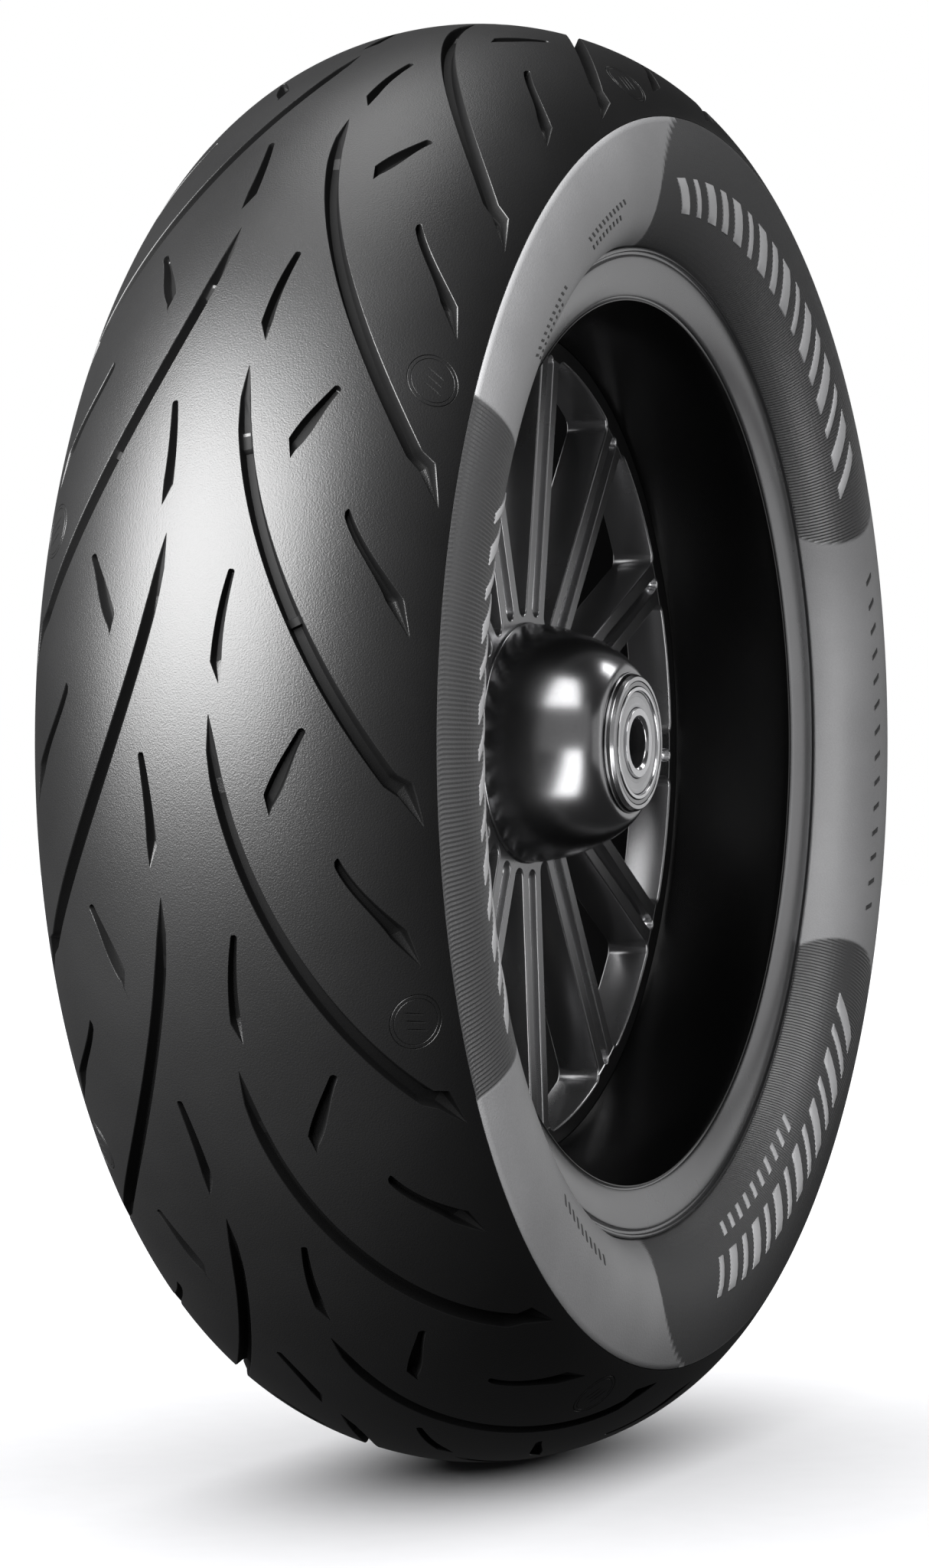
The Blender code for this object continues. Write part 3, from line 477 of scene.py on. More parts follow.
def slit(left, right, tip, floor):
    """A slit with one round end, two cubic edges and a pointed ramp. Its round end is a half circle
    between the edges' first stations. Stations are (across in mm, down in degrees)."""
    t = np.linspace(0, 1, SLIT_ROWS)
    left_edge, right_edge = cubic(left, t), cubic(right, t)
    middle, half = (left_edge[0] + right_edge[0]) / 2, (right_edge[0] - left_edge[0]) / 2
    forward = (left_edge[1] + right_edge[1]) / 2 - middle
    forward = forward / np.linalg.norm(forward * [1, DEGREE]) * np.linalg.norm(half * [1, DEGREE])
    swing = np.radians(np.linspace(80, 15, CAP_ROWS))[:, None]
    cap = middle - forward * np.sin(swing)
    left_edge = np.concatenate([cap - half * np.cos(swing), left_edge, [tip]])
    right_edge = np.concatenate([cap + half * np.cos(swing), right_edge, [tip]])
    left_edge[-1, 0] -= 0.03
    right_edge[-1, 0] += 0.03
    round_rise, long_rise = np.cos(swing[:, 0]) ** 0.5 * 0.8, np.interp(t, [0, 0.25], [0.8, 1])
    rise = np.concatenate([round_rise, long_rise, [-0.02]])
    lip = np.concatenate([np.full(CAP_ROWS + SLIT_ROWS, 0.8), [0.25]])
    return groove_tube(left_edge, right_edge, rise * floor * MM, lip)


# %% The long groove
GROOVE_START, GROOVE_REACH = 12.0, 85.0  # across the crown, mm
GROOVE_SWEEP, GROOVE_CURVE = 33.8, 0.6  # degrees round the tire, and how late it sweeps out
GROOVE_FLOOR, BAR_HEIGHT = 5.2, 2.3  # mm
BAR_PLACES = (0.052, 0.38)  # wear bars, as shares of the reach
LINE_DEGREE = 5.3  # mm for one degree along the groove's middle line
# Ends in (mm across, degrees round): the first point, then the ramp's oblique foot and its tip.
GROOVE_POINT = np.array([11.6, -0.25])
GROOVE_END_INNER = np.array([[86.8, 31.7], [97.3, 34.3]])
GROOVE_END_OUTER = np.array([[92.7, 30.7], [97.36, 34.3]])


def long_groove(with_bars):
    """Its middle line is (start + reach u, sweep u ** curve). The edges lie half a width to each
    side, square to that line. It opens from a point, and ends in an oblique point."""
    u = np.concatenate([[0.012, 0.03], np.linspace(0.05, 0.86, 44) ** 1.15])
    for place in BAR_PLACES if with_bars else ():
        u = np.concatenate([u, place + np.array([-0.012, -0.009, 0.009, 0.012])])
    u = np.sort(u)
    middle = np.stack([GROOVE_START + GROOVE_REACH * u, GROOVE_SWEEP * u**GROOVE_CURVE], -1)
    slope = GROOVE_SWEEP * GROOVE_CURVE * u ** (GROOVE_CURVE - 1) * LINE_DEGREE
    aim = np.stack([np.full_like(u, GROOVE_REACH), slope], -1)
    aim /= np.linalg.norm(aim, axis=1, keepdims=True)
    square = np.stack([aim[:, 1], -aim[:, 0] / LINE_DEGREE], -1)
    width = np.interp(u, [0, 0.012, 0.04, 0.4, 1], [1.6, 3.6, 5.0, 6.2, 7.3])[:, None]
    inner, outer = middle - square * width / 2, middle + square * width / 2
    inner = np.concatenate([[GROOVE_POINT], inner, GROOVE_END_INNER])
    outer = np.concatenate([[GROOVE_POINT + [0.06, 0]], outer, GROOVE_END_OUTER])
    depth = np.interp(u, [0.012, 0.05], [2.2, GROOVE_FLOOR])
    for place in BAR_PLACES if with_bars else ():
        depth = depth - BAR_HEIGHT * np.clip((0.0121 - np.abs(u - place)) / 0.003, 0, 1)
    depth = np.concatenate([[-0.1], depth, [GROOVE_FLOOR, -0.03]])
    lip = np.concatenate([[0.3], np.ones(len(u) + 1), [0.3]])
    return groove_tube(inner, outer, depth * MM, lip)


# %% The slits and the ring marks
SLITS = (
    slit([(16.9, 15.5), (14.6, 17.5), (12.9, 19.7), (12.0, 21.9)],
         [(19.1, 15.6), (17.8, 17.3), (16.8, 19.0), (16.3, 21.6)], (15.7, 23.5), 4.2),
    slit([(49.9, 1.2), (46.0, 2.75), (41.4, 4.9), (36.9, 6.3)],
         [(47.4, 0.95), (43.0, 2.3), (38.2, 3.8), (33.8, 5.5)], (35.5, 7.0), 3.8),
    slit([(60.2, 11.0), (64.8, 12.6), (71.5, 14.4), (79.6, 16.8)],
         [(61.8, 10.4), (68.5, 12.5), (77.0, 14.5), (86.5, 16.5)], (90.4, 19.5), 4.4),
)


MARK_ACROSS, MARK_RADIUS = 85 * MM, 286 * MM  # place across the tread, and the tire's radius there


def ring_mark(radius, width, depth):
    """A V-shaped line round a circle on the shoulder, as a closed sweep of three corners."""
    turn = np.linspace(0, 2 * np.pi, 48, endpoint=False)[:, None]
    reach = radius + np.array([[-1, 0, 1]]) * width
    height = np.array([[depth, -depth, depth]]) * np.ones_like(turn)
    return MARK_ACROSS + reach * np.sin(turn), reach * np.cos(turn) / MARK_RADIUS, height


def bar_marks():
    """Three straight V-shaped lines inside the ring, side by side."""
    along, at = mm([-5.5, -3.3, 3.3, 5.5]), mm([-3.4, 0, 3.4])
    half, depth = mm([0.07, 0.7, 0.7, 0.07]), mm([-0.1, 0.35, 0.35, -0.1])
    shares = np.array([-1, 0, 1])
    height = np.stack([0.35 * MM + 0 * depth, -depth, 0.35 * MM + 0 * depth], -1)
    return [
        (MARK_ACROSS + along[:, None] * 0.94 + 0 * shares,
         (place + along[:, None] * 0.34 + half[:, None] * shares) / MARK_RADIUS, height)
        for place in at
    ]


def on_half(shape, side, starts):
    """A shape in (across, down, height) set on one half at each start. The far half is a mirror
    image, so its corners run the other way and its tubes stay right side out."""
    across, down, height = shape
    placed = np.stack([on_tire(side * across, start - down, height) for start in starts])
    return placed if side == NEAR else placed[:, :, ::-1]


def both_halves(name, shape, near, far, closed=False):
    """Tubes of one shape at every near and every far start, in one cutter."""
    placed = [on_half(shape, NEAR, near), on_half(shape, FAR, far)]
    return tubes(name, np.concatenate(placed), closed)


# %% Cutting the tread
near_starts = math.radians(1.84) + np.arange(PITCHES) * PITCH
far_starts = near_starts + PITCH / 2
near_marks, far_marks = (
    math.radians(first) + np.arange(PITCHES // 2) * 2 * PITCH for first in (29.4, 17.0)
)
barred = np.arange(PITCHES) % 5 == 1
cutters = [
    both_halves(name, long_groove(bars), near_starts[chosen], far_starts[chosen])
    for name, bars, chosen in (("plain_grooves", False, ~barred), ("barred_grooves", True, barred))
]
for i, shape in enumerate(SLITS):
    cutters.append(both_halves(f"slits_{i}", shape, near_starts, far_starts))
for name, shape, closed in (
    ("outer_rings", ring_mark(11.0 * MM, 0.55 * MM, 0.4 * MM), True),
    ("inner_rings", ring_mark(9.4 * MM, 0.4 * MM, 0.3 * MM), True),
    *((f"bar_marks_{i}", shape, False) for i, shape in enumerate(bar_marks())),
):
    cutters.append(both_halves(name, shape, near_marks, far_marks, closed))
cut_away(tread, *cutters)
print("tread after cutting:", len(tread.data.polygons), "faces, by", len(cutters), "cutters")


# %% The smooth outside and the painted shade in the grooves
OUTSIDE_DEPTH, OUTSIDE_FACING = 0.15 * MM, 0.985  # a face this near the curve, and this parallel
GROOVE_DEPTH, RAMP_FACING = 0.3 * MM, 0.86  # a ramp faces out less than the outside does


def beside_outside(points):
    """How far each point lies under the tire's outside, and the outside's normal beside it."""
    radius, y = np.hypot(points[:, 0], points[:, 2]), np.abs(points[:, 1])
    place, table = (
        np.arctan2(across / HALF_WIDTH, (reach - WIDEST_RADIUS) / CROWN_HEIGHT)
        for across, reach in ((y, radius), curve[:CROWN_ROWS].T)
    )
    length = np.interp(place, table, along_curve[:CROWN_ROWS])
    base_y, base_radius, out_y, out_radius = at_length(length)
    depth = (base_y - y) * out_y + (base_radius - radius) * out_radius
    normal = np.stack([
        points[:, 0] / radius * out_radius, np.where(points[:, 1] < 0, -out_y, out_y),
        points[:, 2] / radius * out_radius,
    ], -1)
    return depth, normal


def smooth_outside(mesh):
    """The uncut outside takes the true curve's normals, so that the cuts leave no mark in its
    sheen. Every other face keeps its own, and those deep in a groove take the second finish, a
    darker, duller rubber that is painted shade."""
    depth, normal = beside_outside(read(mesh.polygons, "center"))
    facing = np.einsum("ij,ij->i", normal, read(mesh.polygons, "normal"))
    outside = (depth < OUTSIDE_DEPTH) & (facing > OUTSIDE_FACING)
    sharpen(mesh, outside, 50)
    outside_corner = np.repeat(outside, read(mesh.polygons, "loop_total", 1))[:, None]
    _, true_normal = beside_outside(read(mesh.vertices, "co"))
    true_normal = true_normal[read(mesh.loops, "vertex_index", 1)]
    mesh.normals_split_custom_set(np.where(outside_corner, true_normal, 0.0).tolist())
    # Faces deep in a groove, but not its ramps, take the darker, duller rubber as painted shade.
    ramp = (facing > RAMP_FACING) & (facing < OUTSIDE_FACING)
    finish_faces(mesh, (depth > GROOVE_DEPTH) & ~ramp)
    return outside


outside = smooth_outside(tread.data)
print("tread faces on the outside:", int(outside.sum()), "of", len(outside))
stands_for(tread, "tread")


# %% [markdown]
# ## The sidewalls
#
# A sidewall's rubber is painted lighter than the tread's, as painted sheen for the grazing light
# that it catches, and it has a sandy skin. Moulders shade parts of it with hundreds of fine radial
# ribs, which trap the light and read as dark panels, so that the raised marks on them stand out.
# The ribs are real here: two columns of points for each rib, one up and one down, with the height
# faded out at the curved edge of each panel. The panels are also painted a dark grey, as painted
# shade for the light that the ribs trap. The marks and fine print of a real tire are lettering, so
# plain slanted bars and dashes take their place.

# %% Ribbed panels
RIBS, RIB_DEPTH = 880, 0.36 * MM
PANELS = (  # first and last angle in degrees, and how far each end bows back at the lip
    (-31.0, 30.0, 0.0, 0.0),
    (78.3, 155.5, 8.0, 3.0),
    (-156.0, -78.6, 3.0, 10.0),
)


def in_panel(turn, down):
    """1 inside a ribbed panel, 0 outside. The ends bow back with the square of the distance from
    the wall's middle. turn is in degrees from the front up, down is 0 at the tread and 1 at the
    lip."""
    bow = ((down - 0.5) / 0.5) ** 2
    mask = np.zeros(np.broadcast(turn, down).shape)
    for first, last, bow_first, bow_last in PANELS:
        inside = np.minimum(turn - (first + bow_first * bow), (last - bow_last * bow) - turn)
        mask = np.maximum(mask, np.clip(inside / 0.3 + 0.5, 0, 1))
    return mask


def sidewall(name, side):
    """Two columns for each rib round the tire. Rows run down the outside, round the bead and back
    up."""
    turn = np.arange(2 * RIBS) * np.pi / RIBS
    degrees = (np.degrees(turn) + 180) % 360 - 180
    down = np.linspace(0.0, 1.0, 26)
    mask = in_panel(degrees[:, None], down[None, :])
    edge = np.clip(np.minimum(down / 0.03, (1 - down) / 0.02), 0, 1)
    valley = (np.arange(2 * RIBS) % 2)[:, None]
    height = -RIB_DEPTH * mask * valley * edge
    across = side * (EDGE_LENGTH + SEAM + down * (WALL_LENGTH - 2 * SEAM))
    outside = on_tire(across[None, :], turn[:, None], height)
    bead_back, bead_top = BEAD_FACE - BEAD_WIDTH, BEAD_BASE + 2.9 * MM
    bead = np.array([
        [BEAD_FACE + 0.4 * MM, SHOULDER[1] - 2.6 * MM], [BEAD_FACE, SHOULDER[1] - 5 * MM],
        [BEAD_FACE, BEAD_BASE + 3 * MM], [BEAD_FACE - 3 * MM, BEAD_BASE], [bead_back, BEAD_BASE],
        [bead_back, bead_top], [BEAD_FACE - 2 * MM, bead_top],
        [BEAD_FACE - 2 * MM, SHOULDER[1] - 5 * MM],
    ])
    bead = np.stack([
        -np.cos(turn)[:, None] * bead[:, 1],
        np.broadcast_to(side * bead[:, 0], (len(turn), len(bead))),
        np.sin(turn)[:, None] * bead[:, 1],
    ], -1)
    back = np.linspace(0.97, 0.0, 9)
    thickness = mm(np.interp(back, [0, 0.36, 0.8, 0.97], [6.7, 4.2, 4.2, 2.2]))
    across = side * (EDGE_LENGTH + SEAM + back * (WALL_LENGTH - 2 * SEAM))
    inside = on_tire(across[None, :], turn[:, None], -thickness)
    points = np.concatenate([outside, bead, inside], axis=1)
    ribbed = np.concatenate([mask, np.zeros((len(turn), len(points[0]) - len(down)))], axis=1)
    flat = points.reshape(-1, 3)
    quads = outward(flat, grid_quads(*points.shape[:2]))
    mesh = mesh_from(name, flat, quads)
    mesh.attributes.new("ribbed", "FLOAT", "POINT").data.foreach_set("value", ribbed.ravel())
    mesh.polygons.foreach_set("use_smooth", ribbed.ravel()[quads].mean(axis=1) < 0.5)
    return add_piece(name, mesh, SIDEWALL_SHEEN_AND_SHADE)


near_wall, far_wall = sidewall("sidewall_near_ribbed", NEAR), sidewall("sidewall_far_ribbed", FAR)
stands_for(near_wall, "sidewall_near")
stands_for(far_wall, "sidewall_far")
# The ribbed panels are painted a dark grey: painted shade for the light that the fine ribs trap.
rib_shade_mask = add_node(SIDEWALL_SHEEN_AND_SHADE, "Attribute")
rib_shade_mask.attribute_name = "ribbed"
tint_by(SIDEWALL_SHEEN_AND_SHADE, rib_shade_mask.outputs["Fac"], grey(0.038), 0.42)
print("ribs on each wall:", RIBS, "quads:", len(near_wall.data.polygons))


# %% Raised marks
MARKED_RADIUS = 255 * MM  # about the middle of the wall, where a bar's width is measured


def wall_bars(first, last, count, low, high, width, slant, height):
    """Slanted bars that follow the wall, as sections (bar, section, corner). Angles in degrees, low
    and high as shares of the way down the wall, width in mm, slant in degrees from low to high."""
    share = np.array([0, 0.02, 0.25, 0.5, 0.75, 0.98, 1])
    rise = np.array([0, 1, 1, 1, 1, 1, 0])[:, None]
    centre = np.linspace(first, last, count)[:, None] + slant * (share - 0.5)
    across = EDGE_LENGTH + (low + (high - low) * share) * WALL_LENGTH
    corner_side = np.array([-1, -1, -0.86, 0.86, 1, 1])
    corner_up = np.array([-0.5 * MM, 0.7 * height, height, height, 0.7 * height, -0.5 * MM])
    half = np.degrees(np.broadcast_to(mm(width), count) / 2 / MARKED_RADIUS)[:, None, None]
    angle = np.radians(centre[..., None] + half * corner_side)
    up = np.where(corner_up > 0, corner_up * rise - 0.05 * MM * (1 - rise), corner_up)
    return across[:, None] + 0 * angle, angle, np.broadcast_to(up, angle.shape)


BOLD, PRINT = 0.55 * MM, 0.22 * MM
# First and last angle, how many, from and to, widths, slant, height.
BOLD_MARKS = (
    (86, 147, 16, 0.385, 0.605, [10, 5, 10, 7] * 4, 4.0, BOLD),
    (-25, 23, 14, 0.385, 0.605, [8, 5] * 7, 4.0, BOLD),
    (-146, -97, 14, 0.385, 0.60, [9, 5] * 7, -4.0, BOLD),
    (-128, -104, 10, 0.68, 0.76, 4, -1.5, BOLD * 0.7),
)
PRINT_MARKS = (
    (58, 68, 11, 0.38, 0.42, 1.6, 0.6, PRINT), (59, 67, 9, 0.46, 0.50, 1.6, 0.6, PRINT),
    (40, 50, 11, 0.42, 0.46, 1.6, 0.6, PRINT), (41, 49, 9, 0.50, 0.54, 1.6, 0.6, PRINT),
    (-62, -50, 10, 0.40, 0.45, 1.8, 0.6, PRINT), (161, 199, 14, 0.40, 0.47, 2.4, 0.8, PRINT),
)


def raised_piece(name, rows, side, rubber):
    shapes = (wall_bars(*row) for row in rows)
    sections = np.concatenate([on_tire(side * a, t, h) for a, t, h in shapes])
    sections[..., 1] = np.clip(sections[..., 1], -HALF_WIDTH, HALF_WIDTH)
    mesh = tubes(name, sections)
    sharpen(mesh, angle=50)
    piece = add_piece(name, mesh, rubber)
    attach(piece, "wheel")
    return piece


near_raised, far_raised = (
    [raised_piece(f"raised_bars_{word}", BOLD_MARKS, side, MARK_RUBBER),
     raised_piece(f"fine_dashes_{word}", PRINT_MARKS, side, FINE_PRINT)]
    for side, word in ((NEAR, "near"), (FAR, "far"))
)
print("raised bars on each wall:", sum(row[2] for row in BOLD_MARKS + PRINT_MARKS))

# %% [markdown]
# ## The rim
#
# The rim is one turned casting: a satin lip on each side, a gloss black barrel inside, seats for
# the beads and a well between them. Its lip is a broad rolled band with a fine line outside and a
# small step inside. The valve passes through the well on the far side of the disc.

# %% The rim's profile
WELL_RADIUS, BARREL_RADIUS = 190.5 * MM, 186.0 * MM
DISC_NEAR, DISC_FAR = -11.35 * MM, 9.15 * MM
VALVE_Y = DISC_FAR + 13.5 * MM


def lip_profile():
    """From the flange's tip to the barrel: a rounded edge, a narrow groove, a band that rolls over
    by (share of the way in) ** 1.9, and a small step."""
    share = np.linspace(0, 1, 14)
    band = mm(np.stack([70.75 - 4.3 * share**1.9, 214.6 - 16.2 * share], -1))
    edge = mm([
        [69.2, 219.0], [70.1, 219.2], [70.9, 218.9], [71.15, 218.2], [71.1, 217.5], [70.7, 217.1],
        [69.6, 216.9], [69.5, 215.9], [70.0, 215.4], [70.55, 215.1],
    ])
    step = mm([
        [66.0, 197.9], [65.3, 197.75], [65.1, 197.2], [65.3, 196.7], [65.9, 196.4], [65.7, 195.9],
        [64.9, 195.6],
    ])
    return np.concatenate([edge, band, step])


def rim_profile():
    """Near lip, near barrel, far barrel, far lip, then back over flange, seats and well."""
    lip = lip_profile()
    share = np.linspace(0.04, 1, 16)
    near_barrel = mm(np.stack([
        -64.9 + (64.9 - 11.35) * share, 195.6 - 9.6 * share**0.9,
    ], -1))
    far_barrel = mm(np.stack([34.0 + 30.9 * share, 186.0 + 9.6 * share**1.1], -1))
    tire_side = mm([
        [67.0, 218.0], [64.2, 215.8], [63.5, 213.3], [63.5, 204.3], [62.0, 202.8], [44.0, 202.0],
        [34.0, 190.5],
    ])
    near_tire_side = tire_side.copy()
    near_tire_side[-1] = [15 * MM, WELL_RADIUS]
    mirror = [-1, 1]
    return np.concatenate([
        lip * mirror, near_barrel, [[DISC_FAR, BARREL_RADIUS]], far_barrel, lip[::-1],
        tire_side, near_tire_side[::-1] * mirror,
    ])


# %% The rim and its valve hole
BORE_SIDES, RIM_SEGMENTS = 32, 288
rim = turned_piece("rim_turned", rim_profile(), RIM_SEGMENTS, SATIN_LIP, GLOSS_BLACK)


def bore(x, z, radius, low, high):
    """A round cutter along Y, from low to high: x + r cos a, z + r sin a."""
    turn, ends = turns(BORE_SIDES), np.array([low, high])[:, None]
    across, up = x + radius * np.cos(turn), z + radius * np.sin(turn)
    return np.stack([across + 0 * ends, ends + 0 * turn, up + 0 * ends], -1)


# The same cutter with Y and Z exchanged points to the axle.
valve_hole = bore(0, VALVE_Y, 4.4 * MM, -196 * MM, -181 * MM)[..., [0, 2, 1]]
cut_away(rim, tubes("valve_hole", valve_hole[None]))
centres = read(rim.data.polygons, "center")
inward, across = np.hypot(centres[:, 0], centres[:, 2]) < 196.6 * MM, np.abs(centres[:, 1])
barrel = inward & (across < 65.95 * MM)
finish_faces(rim.data, barrel)
sharpen(rim.data, barrel, 35)
stands_for(rim, "rim")
print("rim faces:", len(rim.data.polygons), "of them barrel:", int(barrel.sum()))

# %% [markdown]
# ## The spoke disc
#
# Thirteen flat spokes are cast in one piece with the ring that joins them to the barrel. Each has a
# round-ended channel along its face. It is cut from a turned disc: the windows by tubes that flare
# at both faces, which rolls their edges, and the channels by tubes with slanted walls and a rounded
# floor. A V-shaped line is where the satin paint of the spokes ends and the gloss black of the rim
# begins. The channels are brighter than the spokes, so their faces have a third finish.

# %% Outlines of windows and channels
SPOKES, FIRST_SPOKE, SPOKE_WIDTH = 13, math.radians(-1.95), 20.6 * MM
DISC_RADIUS, HUB_RADIUS = 185.7 * MM, 53.1 * MM
WINDOW_OUTER = DISC_RADIUS - 7.4 * MM
HUB_ROUND, RIM_ROUND = 4.5 * MM, 5.0 * MM
CHANNEL_HUB_WIDTH, CHANNEL_RIM_WIDTH, CHANNEL_DEPTH = 8.4 * MM, 6.0 * MM, 5.6 * MM


def arc_points(centre, radius, start, end, count):
    turn = np.linspace(start, end, count)
    return np.stack([centre[0] + radius * np.cos(turn), centre[1] + radius * np.sin(turn)], -1)


def window_outline():
    """Between two spokes, along +X: a small arc at the hub, corner arcs, a long arc at the rim."""
    half = math.pi / SPOKES
    centre = ((SPOKE_WIDTH / 2 + HUB_ROUND) / math.sin(half), 0.0)
    hub_end = arc_points(centre, HUB_ROUND, half + quarter, 3 * quarter - half, 14)
    reach, off = WINDOW_OUTER - RIM_ROUND, SPOKE_WIDTH / 2 + RIM_ROUND
    corner = half - math.asin(off / reach)
    middle = (reach * math.cos(corner), reach * math.sin(corner))
    upper = arc_points(middle, RIM_ROUND, corner, half + quarter, 12)
    rim_end = arc_points((0, 0), WINDOW_OUTER, -corner, corner, 14)[1:-1]
    return np.concatenate([hub_end, upper[::-1] * [1, -1], rim_end, upper])


def channel_outline():
    """Round at both ends and a little narrower at the rim."""
    inner = HUB_RADIUS + 4.4 * MM + CHANNEL_HUB_WIDTH / 2
    outer = WINDOW_OUTER - 0.6 * MM - CHANNEL_RIM_WIDTH / 2
    hub_end = arc_points((inner, 0), CHANNEL_HUB_WIDTH / 2, quarter, 3 * quarter, 14)
    rim_end = arc_points((outer, 0), CHANNEL_RIM_WIDTH / 2, -quarter, quarter, 14)
    return np.concatenate([hub_end, rim_end])


def outward_of(outline):
    """Unit normals of a closed outline, pointing out of it."""
    along = np.roll(outline, -1, axis=0) - np.roll(outline, 1, axis=0)
    normal = np.stack([along[:, 1], -along[:, 0]], -1)
    normal /= np.linalg.norm(normal, axis=1, keepdims=True)
    middle = outline - outline.mean(axis=0)
    return normal if np.einsum("ij,ij->", normal, middle) > 0 else -normal


def flared_tube(outline, heights, growth):
    """The outline at each height along Y, grown outwards there."""
    grown = outline[None] + outward_of(outline)[None] * np.asarray(growth)[:, None, None]
    y = np.broadcast_to(np.asarray(heights)[:, None], grown.shape[:2])
    return np.stack([grown[..., 0], y, grown[..., 1]], axis=-1)


# %% Cutting the disc
ROLL, PAST_FACE = 1.1 * MM, 1.5 * MM  # radius of the rolled edges, and how far the tubes stand out
roll_turn = np.radians([8, 26, 44, 62, 80])
roll_in, roll_down = ROLL * (1 - np.sin(roll_turn)), ROLL * (1 - np.cos(roll_turn)) - 0.02 * MM
window_heights = np.concatenate([
    [DISC_NEAR - PAST_FACE], DISC_NEAR + roll_down, [0.0], (DISC_FAR - roll_down)[::-1],
    [DISC_FAR + PAST_FACE],
])
window_growth = np.concatenate([[ROLL * 1.3], roll_in, [-0.25 * MM], roll_in[::-1], [ROLL * 1.3]])
channel_heights = np.concatenate([
    [DISC_NEAR - PAST_FACE], DISC_NEAR + 0.6 * roll_down,
    DISC_NEAR + np.array([0.3, 0.55, 0.75, 0.9, 1.0]) * CHANNEL_DEPTH,
])
channel_growth = np.concatenate([[0.8 * ROLL], 0.6 * roll_in, mm([-0.25, -0.6, -1.1, -1.7, -2.5])])
spoke_turns = FIRST_SPOKE + turns(SPOKES)
windows, channels = (
    tubes(name, about_axle(flared_tube(outline, heights, growth), places))
    for name, outline, heights, growth, places in (
        ("windows", window_outline(), window_heights, window_growth, spoke_turns + np.pi / SPOKES),
        ("channels", channel_outline(), channel_heights, channel_growth, spoke_turns),
    )
)
DISC_BORE, DISC_SEGMENTS = HUB_RADIUS - 0.6 * MM, 260
disc = turned_piece("cast_spokes", [
    (DISC_NEAR, DISC_BORE), (DISC_NEAR, DISC_RADIUS),
    (DISC_FAR, DISC_RADIUS), (DISC_FAR, DISC_BORE),
], DISC_SEGMENTS, SPOKE_SATIN, GLOSS_BLACK, CHANNEL_METAL)
EDGE_LINE, LINE_HALF = WINDOW_OUTER - 1.9 * MM, 0.45 * MM  # the paint line round the spokes' ends
paint_line = mesh_from("paint_line", *turned([
    (DISC_NEAR - LINE_HALF, EDGE_LINE - 2 * LINE_HALF),
    (DISC_NEAR - LINE_HALF, EDGE_LINE + 2 * LINE_HALF), (DISC_NEAR + LINE_HALF, EDGE_LINE),
], DISC_SEGMENTS))
cut_away(disc, windows, channels, paint_line)

# %% The disc's three finishes
facing, centres = (read(disc.data.polygons, kind) for kind in ("normal", "center"))
flat_face = np.abs(facing[:, 1]) > 0.9999
sharpen(disc.data, flat_face, 35)
black = flat_face & (np.hypot(centres[:, 0], centres[:, 2]) > EDGE_LINE)
below_face = centres[:, 1] - DISC_NEAR
channel = (below_face > 1.2 * MM) & (below_face < CHANNEL_DEPTH + 0.2 * MM) & (facing[:, 1] < -0.25)
finish_faces(disc.data, black + 2 * channel)
stands_for(disc, "spoke_disc")
print("spoke disc faces:", len(disc.data.polygons), "of them in channels:", int(channel.sum()))

# %% [markdown]
# ## The hub
#
# The hub is turned too: a long dome of smoked mirror chrome that carries the near bearing in its
# nose, a ring of brighter chrome round the nose, a hollow core, and a flange with five holes on the
# far side for a brake disc or a pulley. The dome is a superellipse that swells a little before it
# closes in, so its mirror has no flat spot, and a small bead ends it at the disc.

# %% Hub and nose ring
DOME_BASE, DOME_END = -10.35 * MM, -60.35 * MM
DOME_SWELL, DOME_POWER, NOSE_RADIUS = 0.5 * MM, 1.6, 31.3 * MM
FAR_FACE, FLANGE_HOLES, HOLE_CIRCLE = 56.0 * MM, 5, 36 * MM


def hub_profile():
    """Dome, nose, near pocket, hollow core, far pocket, far flange and boss."""
    turn = np.linspace(0, quarter, 60)
    along, out = np.sin(turn) ** (2 / DOME_POWER), np.cos(turn).clip(0) ** (2 / DOME_POWER)
    start, end = DOME_BASE - 3 * MM, NOSE_RADIUS + 1 * MM
    dome = np.stack([
        start + (DOME_END - start) * along, end + (HUB_RADIUS + DOME_SWELL - end) * out,
    ], -1)
    foot = mm([
        [-10.5, 53.1], [-11.2, 53.9], [-11.6, 54.15], [-12.0, 54.15], [-12.4, 53.95],
        [-12.7, 53.65],
    ])
    nose = softened(mm([
        [-60.35, 31.6], [-60.35, 27.3], [-64.65, 27.3], [-64.65, 25.3],
    ]), 0.25 * MM)[2:-2]
    inside = mm([
        [-50.85, 25.3], [-50.85, 21.4], [-44.85, 21.4], [-34.9, 38.0], [9.15, 38.0], [25.75, 21.4],
        [42.2, 21.4], [42.2, 25.3],
    ])
    back = softened(mm([
        [56.0, 25.3], [56.0, 47.0], [46.0, 47.0], [41.0, 40.0], [17.15, 40.0], [9.45, 53.1],
    ]), 0.8 * MM)
    return np.concatenate([foot, dome, nose, inside, back])


hub = turned_piece("hub_dome", hub_profile(), 256, SMOKED_CHROME)
bolt_hole = bore(HOLE_CIRCLE, 0, 4.2 * MM, FAR_FACE - 16 * MM, FAR_FACE + 3 * MM)
cut_away(hub, tubes("bolt_holes", about_axle(bolt_hole, quarter + turns(FLANGE_HOLES))))
sharpen(hub.data, angle=30)
stands_for(hub, "hub")

nose_profile = softened(mm([
    [-60.65, 27.6], [-60.65, 31.3], [-61.2, 31.4], [-61.4, 30.9], [-63.1, 30.5], [-64.65, 29.4],
    [-64.85, 27.6],
]), 0.18 * MM)
nose_ring = turned_piece("nose_ring", nose_profile, 192, NOSE_CHROME)
stands_for(nose_ring, "hub_nose_ring")
print("hub faces:", len(hub.data.polygons), "nose ring faces:", len(nose_ring.data.polygons))

# %% [markdown]
# ## The bearings
#
# Two sealed ball bearings of 22 x 50 x 14 mm carry the wheel. From outside each shows a ground
# outer ring, a grey rubber seal set a little below it with a pressed step, and an inner ring that
# stands just proud, with its bore open for the axle. The balls and cages stay as the CAD made them,
# out of sight behind the seals.

